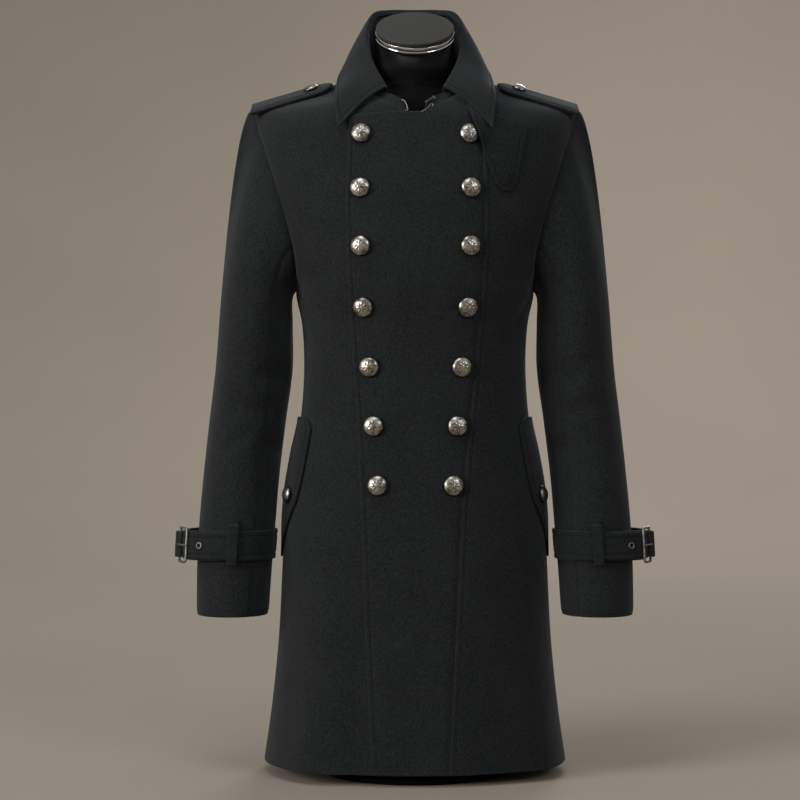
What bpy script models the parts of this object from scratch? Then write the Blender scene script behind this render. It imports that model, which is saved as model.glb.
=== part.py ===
"""Double-breasted long coat on a limbless dress form.

Metres, +Z up, the front faces -Y. Left and right are the wearer's, so left is +X.
"""
import math
from collections import namedtuple

import bmesh
import bpy
import numpy as np
from mathutils import Vector
from mathutils.bvhtree import BVHTree

# Cloth and seams
CLOTH = 0.0020
COLLAR_CLOTH = 0.0025
SEAM = 0.0003
LAP_GAP = 0.0004
LIFT = CLOTH + LAP_GAP

# Body of the coat: side line, section shape and neck
SIDE_Y = 0.008
SQUARE = 2.4
ARMPIT = 9
NECK = 15
TOP = 18
LEVELS = np.concatenate([np.arange(NECK), np.arange(NECK, TOP + 0.1, 0.5)])

# Each row is one section of the inner face: height and half width at its inner end
# (middle or neckline) and its outer end (side seam or armhole), its depth there, and how
# the height bends from one end to the other.
Row = namedtuple("Row", "z_in z_out x_in x_out y_mid y_out bend")
FRONT = [
    Row(0.015, 0.0150, 0.000, 0.2010, -0.1380, SIDE_Y, 2.0),
    Row(0.090, 0.0900, 0.000, 0.1905, -0.1310, SIDE_Y, 2.0),
    Row(0.180, 0.1800, 0.000, 0.1815, -0.1240, SIDE_Y, 2.0),
    Row(0.280, 0.2800, 0.000, 0.1765, -0.1180, SIDE_Y, 2.0),
    Row(0.365, 0.3650, 0.000, 0.1720, -0.1140, SIDE_Y, 2.0),
    Row(0.425, 0.4250, 0.000, 0.1625, -0.1115, SIDE_Y, 2.0),
    Row(0.475, 0.4750, 0.000, 0.1520, -0.1095, SIDE_Y, 2.0),
    Row(0.540, 0.5400, 0.000, 0.1475, -0.1090, SIDE_Y, 2.0),
    Row(0.600, 0.5980, 0.000, 0.1500, -0.1128, SIDE_Y, 2.0),
    Row(0.648, 0.6380, 0.000, 0.1580, -0.1185, SIDE_Y, 2.0),
    Row(0.688, 0.6620, 0.000, 0.1575, -0.1200, -0.040, 2.0),
    Row(0.725, 0.6980, 0.000, 0.1610, -0.1190, -0.057, 2.0),
    Row(0.770, 0.7450, 0.000, 0.1735, -0.1150, -0.058, 2.0),
    Row(0.815, 0.7940, 0.000, 0.1880, -0.1080, -0.049, 2.0),
    Row(0.850, 0.8320, 0.000, 0.2000, -0.1010, -0.035, 1.8),
    Row(0.873, 0.8540, 0.012, 0.2075, -0.0945, -0.021, 1.5),
    Row(0.893, 0.8725, 0.045, 0.2125, -0.0735, -0.010, 1.3),
    Row(0.911, 0.8835, 0.066, 0.2160, -0.0330, -0.001, 1.1),
    Row(0.932, 0.8905, 0.080, 0.2190, 0.0075, SIDE_Y, 1.0),
]
BACK = [
    Row(0.015, 0.0150, 0.000, 0.2010, 0.1340, SIDE_Y, 2.0),
    Row(0.090, 0.0900, 0.000, 0.1905, 0.1270, SIDE_Y, 2.0),
    Row(0.180, 0.1800, 0.000, 0.1815, 0.1200, SIDE_Y, 2.0),
    Row(0.280, 0.2800, 0.000, 0.1765, 0.1150, SIDE_Y, 2.0),
    Row(0.365, 0.3650, 0.000, 0.1720, 0.1120, SIDE_Y, 2.0),
    Row(0.425, 0.4250, 0.000, 0.1625, 0.1070, SIDE_Y, 2.0),
    Row(0.475, 0.4750, 0.000, 0.1520, 0.1000, SIDE_Y, 2.0),
    Row(0.540, 0.5400, 0.000, 0.1475, 0.0935, SIDE_Y, 2.0),
    Row(0.600, 0.5980, 0.000, 0.1500, 0.0965, SIDE_Y, 2.0),
    Row(0.648, 0.6380, 0.000, 0.1580, 0.1020, SIDE_Y, 2.0),
    Row(0.696, 0.6620, 0.000, 0.1600, 0.1065, 0.046, 2.0),
    Row(0.743, 0.6980, 0.000, 0.1655, 0.1090, 0.062, 2.0),
    Row(0.796, 0.7450, 0.000, 0.1770, 0.1085, 0.067, 2.0),
    Row(0.852, 0.7940, 0.000, 0.1910, 0.1030, 0.062, 1.8),
    Row(0.905, 0.8320, 0.000, 0.2020, 0.0900, 0.051, 1.5),
    Row(0.946, 0.8540, 0.000, 0.2090, 0.0740, 0.039, 1.2),
    Row(0.9455, 0.8735, 0.032, 0.2135, 0.0650, 0.028, 1.1),
    Row(0.9395, 0.8845, 0.062, 0.2165, 0.0400, 0.017, 1.05),
    Row(0.932, 0.8905, 0.080, 0.2190, 0.0085, SIDE_Y, 1.0),
]

# Soft skirt folds: angle round the section, width, depth and the height where they die out
Fold = namedtuple("Fold", "angle width depth top")
FRONT_FOLDS = [
    Fold(-0.95, 0.20, 0.0050, 0.400),
    Fold(-0.52, 0.20, -0.0050, 0.460),
    Fold(0.55, 0.20, -0.0035, 0.420),
    Fold(0.95, 0.22, 0.0040, 0.380),
]
BACK_FOLDS = [
    Fold(-0.90, 0.20, 0.0050, 0.380),
    Fold(-0.40, 0.17, -0.0045, 0.400),
    Fold(0.45, 0.18, -0.0040, 0.420),
    Fold(0.92, 0.22, 0.0050, 0.380),
]

# Plastron: its free edge on the right and its seam on the left, as half widths by height
Line = namedtuple("Line", "z x")
LAP_EDGE = [Line(0.015, 0.056), Line(0.207, 0.0655), Line(0.446, 0.074), Line(0.660, 0.087),
            Line(0.757, 0.090), Line(0.873, 0.087)]
LAP_SEAM = [Line(0.015, 0.043), Line(0.170, 0.051), Line(0.369, 0.0606), Line(0.504, 0.0735),
            Line(0.644, 0.086), Line(0.750, 0.090), Line(0.830, 0.087), Line(0.873, 0.078),
            Line(0.911, 0.066)]
LAP_COLUMNS = 10
UNDERLAP_COLUMNS = 6
SIDE_COLUMNS = 9
BACK_COLUMNS = 14
LIFT_FROM = 0.055
LIFT_FADE = 0.080
LIFT_NECK_SHIFT = 0.070
LIFT_NECK_SPAN = 4.0
NECK_EASE_FROM = 13.0
NECK_EASE = 0.0014

# Sleeve sections of the outer face, from the biceps to the cuff
SleeveRow = namedtuple("SleeveRow", "z x y half_width half_depth")
SLEEVE = [
    SleeveRow(0.605, 0.2145, 0.004, 0.0495, 0.070),
    SleeveRow(0.540, 0.2170, 0.003, 0.0520, 0.067),
    SleeveRow(0.470, 0.2255, 0.000, 0.0515, 0.063),
    SleeveRow(0.400, 0.2330, -0.007, 0.0510, 0.059),
    SleeveRow(0.335, 0.2380, -0.017, 0.0510, 0.056),
    SleeveRow(0.280, 0.2410, -0.026, 0.0500, 0.053),
    SleeveRow(0.213, 0.2430, -0.036, 0.0480, 0.050),
]
HEAD_STEPS = [0.0, 0.10, 0.22, 0.36, 0.52, 0.68, 0.84]
ARM_STEPS = [0.0, 0.6, 1.2, 1.8, 2.5, 3.5, 4.7, 6.0]
HEAD_LEAVE_TOP = 0.07
HEAD_LEAVE_MORE = 0.10
HEAD_ARRIVE = 0.45
FRONT_SEAM = 10
HIND_SEAM = 16
SleeveFold = namedtuple("SleeveFold", "angle z width height depth")
SLEEVE_FOLDS = [
    SleeveFold(2.2, 0.535, 0.55, 0.020, -0.0040),
    SleeveFold(1.7, 0.485, 0.60, 0.018, -0.0035),
    SleeveFold(2.5, 0.435, 0.55, 0.018, -0.0030),
]

# Collar: roll line and outer edge, from the centre back to the leaf's front edge
CollarRow = namedtuple("CollarRow", "roll_x roll_y roll_z edge_x edge_y edge_z")
COLLAR = [
    CollarRow(0.000, 0.066, 1.037, 0.000, 0.094, 0.937),
    CollarRow(0.033, 0.060, 1.036, 0.050, 0.085, 0.938),
    CollarRow(0.0555, 0.042, 1.029, 0.084, 0.059, 0.942),
    CollarRow(0.0645, 0.018, 1.006, 0.099, 0.028, 0.941),
    CollarRow(0.0645, -0.004, 0.983, 0.1035, 0.002, 0.9365),
    CollarRow(0.0595, -0.025, 0.959, 0.1065, -0.030, 0.919),
    CollarRow(0.0485, -0.047, 0.933, 0.1065, -0.077, 0.896),
    CollarRow(0.0370, -0.069, 0.911, 0.1010, -0.1100, 0.852),
]
COLLAR_STEPS = [0.10, 0.28, 0.52, 0.76, 1.0]
COLLAR_COLUMNS = 28
COLLAR_BULGE = 0.006
LIP_IN = 0.0040
LIP_DOWN = 0.0060
LEAF_SHARE = 0.86
STAND_END = (0.0145, -0.0870, 0.895)
STAND_INSIDE = 0.0009
STAND_GAP = 0.0045

# Throat tab: its corners as places across and up the front
TAB_LEFT = ((0.066, 0.882), (0.105, 0.770))
TAB_RIGHT = ((0.146, 0.854), (0.129, 0.770))
TabRow = namedtuple("TabRow", "step scale")
TAB = [TabRow(0.00, 1.0), TabRow(0.18, 1.0), TabRow(0.36, 1.0), TabRow(0.54, 1.0), TabRow(0.70, 1.0),
       TabRow(0.84, 0.97), TabRow(0.93, 0.82), TabRow(0.98, 0.60), TabRow(1.00, 0.34)]
TAB_COLUMNS = 6
TAB_OFF = 0.0010
TAB_BUMP = 0.0115
TAB_BUMP_WIDTH = 0.0145

# Buttons: half width across and height up the front for each pair
ButtonRow = namedtuple("ButtonRow", "x z")
BUTTONS = [ButtonRow(0.0700, 0.844), ButtonRow(0.0710, 0.773), ButtonRow(0.0700, 0.698),
           ButtonRow(0.0665, 0.619), ButtonRow(0.0590, 0.541), ButtonRow(0.0535, 0.464),
           ButtonRow(0.0485, 0.387)]
ButtonProfile = namedtuple("ButtonProfile", "radius height")
BUTTON_PROFILE = [ButtonProfile(0.00, 0.00), ButtonProfile(0.80, 0.00), ButtonProfile(1.00, 0.18),
                  ButtonProfile(0.80, 0.43), ButtonProfile(0.42, 0.57), ButtonProfile(0.00, 0.62)]
BUTTON_RADIUS = 0.0134
SHOULDER_BUTTON_RADIUS = 0.0100
POCKET_BUTTON_RADIUS = 0.0112

# Epaulettes lie along the shoulder seam
EpauletteRow = namedtuple("EpauletteRow", "x drop half_width")
EPAULETTE = [
    EpauletteRow(0.2205, 0.0000, 0.0222),
    EpauletteRow(0.2190, 0.0000, 0.0230),
    EpauletteRow(0.2115, 0.0000, 0.0230),
    EpauletteRow(0.1900, 0.0000, 0.0228),
    EpauletteRow(0.1650, 0.0000, 0.0224),
    EpauletteRow(0.1400, 0.0000, 0.0218),
    EpauletteRow(0.1250, 0.0000, 0.0205),
    EpauletteRow(0.1170, 0.0000, 0.0150),
    EpauletteRow(0.1125, 0.0000, 0.0075),
]
EPAULETTE_ACROSS = np.array([-1.0, -0.94, -0.5, 0.0, 0.5, 0.94, 1.0])
EPAULETTE_THIN = np.array([0.35, 0.0, 0.0, 0.0, 0.0, 0.0, 0.35])
EPAULETTE_THICK = 0.0045
EPAULETTE_OFF = 0.0013
EPAULETTE_Y = -0.0090
EPAULETTE_LEAN = 0.42
EPAULETTE_BUTTON_X = 0.1400

# Pocket flaps: front edge as a turn from the side seam, by height
FlapRow = namedtuple("FlapRow", "z turn")
FLAP = [FlapRow(0.4750, 0.36), FlapRow(0.4700, 0.50), FlapRow(0.4600, 0.57), FlapRow(0.4300, 0.58),
        FlapRow(0.4000, 0.57), FlapRow(0.3780, 0.55), FlapRow(0.3600, 0.50), FlapRow(0.3300, 0.34),
        FlapRow(0.3050, 0.19), FlapRow(0.2870, 0.07)]
FLAP_COLUMNS = 5
FLAP_REAR = -0.03
FLAP_OFF = 0.0018
FLAP_CLOTH = 0.0025
FLAP_BUTTON = (0.162, 0.372)

# Cuff strap, its tongue, loop, buckle and eyelet; turns are from the outer side to the front
STRAP_Z = 0.306
STRAP_HALF = 0.020
STRAP_CLOTH = 0.0030
STRAP_OFF = 0.0010
STRAP_BULGE = 0.0150
STRAP_BULGE_TURN = math.radians(10)
STRAP_BULGE_WIDTH = math.radians(38)
STRAP_COLUMNS = 36
TONGUE_FROM = -2
TONGUE_TO = 10
TONGUE_HALF = 0.0185
TONGUE_CLOTH = 0.0025
TONGUE_END = 0.45
LOOP_TURN = math.radians(90)
LOOP_HALF_TURN = math.radians(5.6)
LOOP_CLOTH = 0.0020
LoopRow = namedtuple("LoopRow", "rise outer_rise off")
LOOP = [LoopRow(0.0340, 0.0340, 0.0008), LoopRow(0.0268, 0.0290, 0.0008), LoopRow(0.0238, 0.0258, 0.0078),
        LoopRow(-0.0214, -0.0230, 0.0078), LoopRow(-0.0220, -0.0240, 0.0008), LoopRow(-0.0248, -0.0248, 0.0008)]
BUCKLE_TURN = math.radians(17)
BUCKLE_HALF_TURN = math.radians(11.5)
BUCKLE_HALF = 0.0225
BUCKLE_WIRE = 0.0016
BUCKLE_CORNER = 0.8
PRONG_WIRE = 0.0011
PRONG_REACH = 1.25
EYELET_TURN = math.radians(46)
EYELET_RADIUS = 0.0045
EYELET_WIRE = 0.0009

# Collar hooks and eye
HOOK_WIRE = 0.0008
HOOK_OFF = 0.0006
HOOK_ROWS = {"collar_hook_lower": 0.9, "collar_hook_upper": 2.3}
HOOK_REACH = 0.0060
HOOK_TURN = 0.0026
HOOK_TIP = 0.0020
EYE_ROWS = (0.6, 1.3, 2.0, 2.7)

# Dress form: sections from the hip to the neck
FormRow = namedtuple("FormRow", "z half_width front back square tilt")
FORM = [
    FormRow(0.310, 0.122, -0.080, 0.078, 2.2, 0.0),
    FormRow(0.320, 0.138, -0.092, 0.089, 2.2, 0.0),
    FormRow(0.365, 0.150, -0.100, 0.097, 2.2, 0.0),
    FormRow(0.425, 0.145, -0.098, 0.092, 2.2, 0.0),
    FormRow(0.475, 0.137, -0.096, 0.085, 2.2, 0.0),
    FormRow(0.540, 0.133, -0.095, 0.080, 2.2, 0.0),
    FormRow(0.600, 0.136, -0.100, 0.083, 2.2, 0.0),
    FormRow(0.648, 0.142, -0.104, 0.088, 2.2, 0.0),
    FormRow(0.725, 0.146, -0.105, 0.095, 2.1, 0.0),
    FormRow(0.795, 0.156, -0.097, 0.094, 2.0, 0.0),
    FormRow(0.840, 0.168, -0.087, 0.087, 1.8, 0.0),
    FormRow(0.868, 0.182, -0.077, 0.079, 1.5, 0.0),
    FormRow(0.8860, 0.1860, -0.070, 0.074, 1.3, 0.0),
    FormRow(0.8998, 0.1845, -0.066, 0.071, 1.2, 0.0),
    FormRow(0.9022, 0.1670, -0.063, 0.069, 1.2, 0.0),
    FormRow(0.9060, 0.1402, -0.061, 0.067, 1.2, 0.0),
    FormRow(0.9130, 0.0980, -0.052, 0.062, 1.2, 0.0),
    FormRow(0.9220, 0.0680, -0.051, 0.060, 1.5, 0.0),
    FormRow(0.9330, 0.0590, -0.051, 0.059, 1.8, 0.06),
    FormRow(0.9480, 0.0560, -0.051, 0.056, 2.0, 0.20),
    FormRow(0.9660, 0.0540, -0.047, 0.050, 2.0, 0.42),
    FormRow(0.9850, 0.0520, -0.0415, 0.0455, 2.0, 0.675),
]
FORM_COLUMNS = 24
NECK_TILT = math.radians(34)
NECK_TOP = (0.0, 0.002, 0.985)
NECK_RING_RADIUS = 0.0532
NECK_RING_HEIGHT = 0.0110
NECK_CAP_RADIUS = 0.0526
NECK_CAP_HEIGHT = 0.0060
EDGE_ROUND = 0.0020
POLE_RADIUS = 0.016
BASE_RADIUS = 0.125
BASE_THICK = 0.008

MATERIALS = {
    "wool": ((0.018, 0.019, 0.020, 1.0), 0.85, 0.0),
    "wool_trim": ((0.014, 0.015, 0.016, 1.0), 0.85, 0.0),
    "button_metal": ((0.62, 0.62, 0.60, 1.0), 0.35, 1.0),
    "fitting_metal": ((0.45, 0.45, 0.44, 1.0), 0.35, 1.0),
    "form_gloss": ((0.010, 0.010, 0.011, 1.0), 0.12, 0.0),
    "form_chrome": ((0.70, 0.70, 0.68, 1.0), 0.15, 1.0),
}


def clear_scene():
    """Remove whatever the new file holds."""
    for found in list(bpy.data.objects):
        bpy.data.objects.remove(found, do_unlink=True)


def material(name):
    """Principled material of the table above, made once."""
    made = bpy.data.materials.get(name)
    if made is None:
        colour, rough, metal = MATERIALS[name]
        made = bpy.data.materials.new(name)
        made.use_nodes = True
        shader = made.node_tree.nodes["Principled BSDF"]
        shader.inputs["Base Color"].default_value = colour
        shader.inputs["Roughness"].default_value = rough
        shader.inputs["Metallic"].default_value = metal
    return made


def solid(name, points, faces, kind):
    """Named object from points and faces, turned to face out."""
    mesh = bpy.data.meshes.new(name)
    mesh.from_pydata([tuple(float(value) for value in point) for point in points], [], faces)
    work = bmesh.new()
    work.from_mesh(mesh)
    bmesh.ops.recalc_face_normals(work, faces=work.faces)
    for face in work.faces:
        face.smooth = True
    work.to_mesh(mesh)
    work.free()
    mesh.materials.append(material(kind))
    made = bpy.data.objects.new(name, mesh)
    bpy.context.scene.collection.objects.link(made)
    return made


def wall(name, inner, outer, kind, ring=False):
    """Closed solid between two grids of rows and columns; ring joins the last column to the first."""
    rows, columns = inner.shape[:2]
    layer = rows * columns

    def at(row, column, side):
        return side * layer + row * columns + column % columns

    cells = columns if ring else columns - 1
    faces = []
    for side in (0, 1):
        for row in range(rows - 1):
            for column in range(cells):
                a = at(row, column, side)
                b = at(row, column + 1, side)
                c = at(row + 1, column + 1, side)
                d = at(row + 1, column, side)
                faces += [(a, b, c), (a, c, d)] if side else [(a, c, b), (a, d, c)]
    for row in (0, rows - 1):
        for column in range(cells):
            a = at(row, column, 0)
            b = at(row, column + 1, 0)
            c = at(row, column + 1, 1)
            d = at(row, column, 1)
            faces += [(a, b, c), (a, c, d)] if row == 0 else [(a, c, b), (a, d, c)]
    for column in () if ring else (0, columns - 1):
        for row in range(rows - 1):
            a = at(row, column, 0)
            b = at(row + 1, column, 0)
            c = at(row + 1, column, 1)
            d = at(row, column, 1)
            faces += [(a, c, b), (a, d, c)] if column == 0 else [(a, b, c), (a, c, d)]
    points = np.concatenate([inner.reshape(-1, 3), outer.reshape(-1, 3)])
    return solid(name, points, faces, kind)


def unit(vectors):
    """Vectors brought to length one."""
    return vectors / np.maximum(np.linalg.norm(vectors, axis=-1, keepdims=True), 1e-12)


def smooth(value):
    """Smooth step from 0 to 1."""
    value = np.clip(value, 0.0, 1.0)
    return value * value * (3.0 - 2.0 * value)


def spline(values, at):
    """Catmull-Rom curve through values at 0, 1, 2 and on, read at the places given."""
    values = np.asarray(values, float)
    at = np.clip(np.asarray(at, float), 0.0, len(values) - 1.0)
    index = np.minimum(at.astype(int), len(values) - 2)
    part = at - index
    padded = np.concatenate([[2 * values[0] - values[1]], values, [2 * values[-1] - values[-2]]])
    before, here, after, beyond = (padded[index + step] for step in range(4))
    return 0.5 * (2 * here + (after - before) * part
                  + (2 * before - 5 * here + 4 * after - beyond) * part ** 2
                  + (3 * here - before - 3 * after + beyond) * part ** 3)


def read_rows(table, at):
    """A table's columns, each read as a spline at the places given."""
    columns = zip(*table)
    return type(table[0])(*(spline(column, at) for column in columns))


def line_x(table, z):
    """Half width of a line on the front at a height."""
    return np.interp(z, [row.z for row in table], [row.x for row in table])


def signed_power(value, power):
    """Power of the size, with the sign kept."""
    return np.sign(value) * np.abs(value) ** power


def reach_of(row):
    """Half width that the section would have if it ran on to the side line."""
    share = np.clip((row.y_out - SIDE_Y) / (row.y_mid - SIDE_Y), 0.0, 0.98)
    return row.x_out / (1.0 - share ** SQUARE) ** (1.0 / SQUARE)


def surface(table, level, angle):
    """Inner face of the coat at a level; angle 0 is the middle and a quarter turn the side line."""
    level, angle = np.broadcast_arrays(np.asarray(level, float), np.asarray(angle, float))
    row = read_rows(table, level)
    x = reach_of(row) * signed_power(np.sin(angle), 2.0 / SQUARE)
    y = SIDE_Y + (row.y_mid - SIDE_Y) * signed_power(np.cos(angle), 2.0 / SQUARE)
    share = np.clip((np.abs(x) - row.x_in) / (row.x_out - row.x_in), 0.0, None)
    z = row.z_in + (row.z_out - row.z_in) * share ** row.bend
    facing = -1.0 if table is FRONT else 1.0
    for fold in FRONT_FOLDS if table is FRONT else BACK_FOLDS:
        rise = smooth((fold.top - z) / (fold.top - FRONT[0].z_in))
        push = fold.depth * rise * np.exp(-((angle - fold.angle) / fold.width) ** 2)
        x = x + push * np.sin(angle)
        y = y + facing * push * np.cos(angle)
    return np.stack([x, y, z], axis=-1)


def angle_at(table, level, x):
    """Angle of the section's point at a place across."""
    reach = reach_of(read_rows(table, level))
    share = np.clip(np.abs(x) / reach, 0.0, 1.0)
    return np.sign(x) * np.arcsin(share ** (SQUARE / 2.0))


def outward(table, level, angle):
    """Direction straight out of the coat's face; at the shoulder seam it leans neither way."""
    step_angle = 0.01
    step_level = 0.04
    level, angle = np.broadcast_arrays(np.asarray(level, float), np.asarray(angle, float))
    across = surface(table, level, angle + step_angle) - surface(table, level, angle - step_angle)
    low = surface(table, np.maximum(level - step_level, 0.0), angle)
    high = surface(table, np.minimum(level + step_level, TOP), angle)
    facing = 1.0 if table is FRONT else -1.0
    normal = facing * np.cross(across, high - low)
    normal[..., 1] = np.where(level > TOP - 0.01, 0.0, normal[..., 1])
    return unit(normal)


def shrink(grid, first_row=0.0, last_row=0.0, first_column=0.0, last_column=0.0):
    """Draw the grid's edges in, along its own surface, by the distances given."""
    grid = grid.copy()
    grid[:, 0] += first_column * unit(grid[:, 1] - grid[:, 0])
    grid[:, -1] += last_column * unit(grid[:, -2] - grid[:, -1])
    grid[0] += first_row * unit(grid[1] - grid[0])
    grid[-1] += last_row * unit(grid[-2] - grid[-1])
    return grid


def seamed(grid):
    """Half a seam's gap drawn in on every edge but the hem."""
    return shrink(grid, 0.0, SEAM / 2, SEAM / 2, SEAM / 2)


def end_angle(table, level):
    """Angle of the side seam or the armhole edge."""
    return angle_at(table, level, read_rows(table, level).x_out)


def lap_lift(x, level):
    """How far the lapping side stands off the plain section."""
    start = LIFT_FROM - LIFT_NECK_SHIFT * smooth((level - NECK_EASE_FROM) / LIFT_NECK_SPAN)
    return LIFT * (1.0 - smooth((x - start) / LIFT_FADE))


def body_panel(name, table, level, angle, lift):
    """One cut panel of the body: a wall on the coat's inner face."""
    face = surface(table, level, angle)
    normal = outward(table, level, angle)
    inner = face + normal * lift[..., None]
    outer = inner + normal * CLOTH
    return wall(name, seamed(inner), seamed(outer), "wool")


def lap_grid():
    """Levels and places across of the plastron; its left columns rise to the neckline."""
    column = np.linspace(0.0, 1.0, LAP_COLUMNS + 1)
    neck_levels = np.arange(NECK, TOP + 1.0)
    neck_x = read_rows(FRONT, neck_levels).x_in
    neck_z = read_rows(FRONT, neck_levels).z_in
    top = np.full(LAP_COLUMNS + 1, float(NECK))
    for _ in range(30):
        seam = line_x(LAP_SEAM, np.interp(top, neck_levels, neck_z))
        edge = line_x(LAP_EDGE, np.interp(top, neck_levels, neck_z))
        top = np.interp(column * (seam + edge) - edge, neck_x, neck_levels)
    rows = np.arange(NECK + 1.0)[:, None]
    level = rows + (top - NECK) * np.clip((rows - NECK_EASE_FROM) / (NECK - NECK_EASE_FROM), 0.0, 1.0)
    height = read_rows(FRONT, level).z_in
    edge = line_x(LAP_EDGE, height)
    x = column * (line_x(LAP_SEAM, height) + edge) - edge
    return level, x


def build_body():
    """Two backs, the right front with its underlap, the plastron and the left side front."""
    level = LEVELS[:, None]
    for side, name in ((1, "back_left"), (-1, "back_right")):
        row = read_rows(BACK, level)
        start = angle_at(BACK, level, row.x_in)
        share = np.linspace(0.0, 1.0, BACK_COLUMNS + 1)
        angle = side * (start + (end_angle(BACK, level) - start) * share)
        levels = np.broadcast_to(level, angle.shape)
        body_panel(name, BACK, levels, angle, np.zeros(angle.shape))

    lap_level, lap_x = lap_grid()
    lap_angle = angle_at(FRONT, lap_level, lap_x)
    face = surface(FRONT, lap_level, lap_angle)
    normal = outward(FRONT, lap_level, lap_angle)
    inner = face + normal * lap_lift(lap_x, lap_level)[..., None]
    outer = inner + normal * CLOTH
    draw = SEAM / 2 + NECK_EASE * smooth(lap_level[:, -1:] - NECK_EASE_FROM)
    inner = shrink(inner, 0, NECK_EASE, 0, draw)
    outer = shrink(outer, 0, NECK_EASE, 0, draw)
    wall("front_plastron", inner, outer, "wool")

    neck_start = -read_rows(FRONT, LEVELS).x_in
    under = np.linspace(0.0, 1.0, UNDERLAP_COLUMNS + 1)
    edge_x = -line_x(LAP_EDGE, read_rows(FRONT, LEVELS).z_in)
    inner_x = np.empty((len(LEVELS), UNDERLAP_COLUMNS + 1))
    for index, place in enumerate(LEVELS):
        if place < NECK:
            inner_x[index] = lap_x[index, UNDERLAP_COLUMNS::-1]
        else:
            inner_x[index] = neck_start[index] + (edge_x[index] - neck_start[index]) * under
    inner_angle = angle_at(FRONT, level, inner_x)
    share = np.linspace(0.0, 1.0, SIDE_COLUMNS + 1)[1:]
    last = inner_angle[:, -1:]
    side_angle = last + (-end_angle(FRONT, level) - last) * share
    angle = np.concatenate([inner_angle, side_angle], axis=1)[:, ::-1]
    body_panel("front_right", FRONT, np.broadcast_to(level, angle.shape), angle, np.zeros(angle.shape))

    row = read_rows(FRONT, level)
    start = angle_at(FRONT, level, np.where(level < TOP - 1, line_x(LAP_SEAM, row.z_in), row.x_in))
    share = np.linspace(0.0, 1.0, SIDE_COLUMNS + 1)
    angle = start + (end_angle(FRONT, level) - start) * share
    levels = np.broadcast_to(level, angle.shape)
    lift = lap_lift(surface(FRONT, levels, angle)[..., 0], levels)
    body_panel("front_left", FRONT, levels, angle, lift)


def front_place(x, z, off):
    """Point on the front's outer face at a place across and up, moved out, and its direction out."""
    trial = np.linspace(0.0, TOP, 361)
    heights = surface(FRONT, trial, angle_at(FRONT, trial, np.full(trial.shape, x)))[:, 2]
    level = float(np.interp(z, heights, trial))
    angle = float(angle_at(FRONT, np.array(level), np.array(x)))
    normal = outward(FRONT, level, angle)
    lift = float(lap_lift(x, level)) + CLOTH + off
    return surface(FRONT, level, angle) + normal * lift, normal


def armhole(side):
    """Ring of the armhole's outer edge, the ways the sleeve leaves it, and the body's way out, weighted."""
    down = LEVELS[LEVELS >= ARMPIT][::-1]
    up = down[::-1][1:-1]
    points = []
    leave = []
    hold = []
    for table, levels in ((FRONT, down), (BACK, up)):
        angle = end_angle(table, levels)
        normal = outward(table, levels, angle)
        points.append(surface(table, levels, angle) + normal * CLOTH)
        ahead = unit(surface(table, levels, angle) - surface(table, levels, angle - 0.15))
        share = np.clip((levels - ARMPIT) / (TOP - ARMPIT), 0.0, 1.0)
        weight = smooth(share * 1.3)[:, None]
        leave.append(unit(weight * ahead + (1.0 - weight) * normal))
        hold.append(normal * weight)
    leave = np.concatenate(leave)
    points = np.concatenate(points) + leave * SEAM
    mirror = np.array([side, 1.0, 1.0])
    return points * mirror, leave * mirror, np.concatenate(hold) * mirror, len(down) - 1


def ring_turns(points, bottom):
    """Turn of each ring point: 0 outer, a quarter front, a half inner, three quarters back."""
    closed = np.concatenate([points, points[:1]])
    run = np.concatenate([[0.0], np.cumsum(np.linalg.norm(np.diff(closed, axis=0), axis=1))])
    half = run[bottom]
    whole = run[-1]
    turn = np.where(run <= half, run / half, 1.0 + (run - half) / (whole - half)) * math.pi
    return turn[:-1]


def sleeve_face(side, level, turn, off=0.0):
    """Outer face of the sleeve below the biceps, moved out by off."""
    level, turn = np.broadcast_arrays(np.asarray(level, float), np.asarray(turn, float))
    row = read_rows(SLEEVE, level)
    x = row.half_width * np.cos(turn)
    y = -row.half_depth * np.sin(turn)
    out = unit(np.stack([np.cos(turn) / row.half_width, -np.sin(turn) / row.half_depth], axis=-1))
    push = np.zeros(turn.shape) + off
    for fold in SLEEVE_FOLDS:
        apart = np.angle(np.exp(1j * (turn - fold.angle)))
        near = -(apart / fold.width) ** 2 - ((row.z - fold.z) / fold.height) ** 2
        push = push + fold.depth * np.exp(near)
    x = row.x + x + out[..., 0] * push
    return np.stack([side * x, row.y + y + out[..., 1] * push, row.z], axis=-1)


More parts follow.
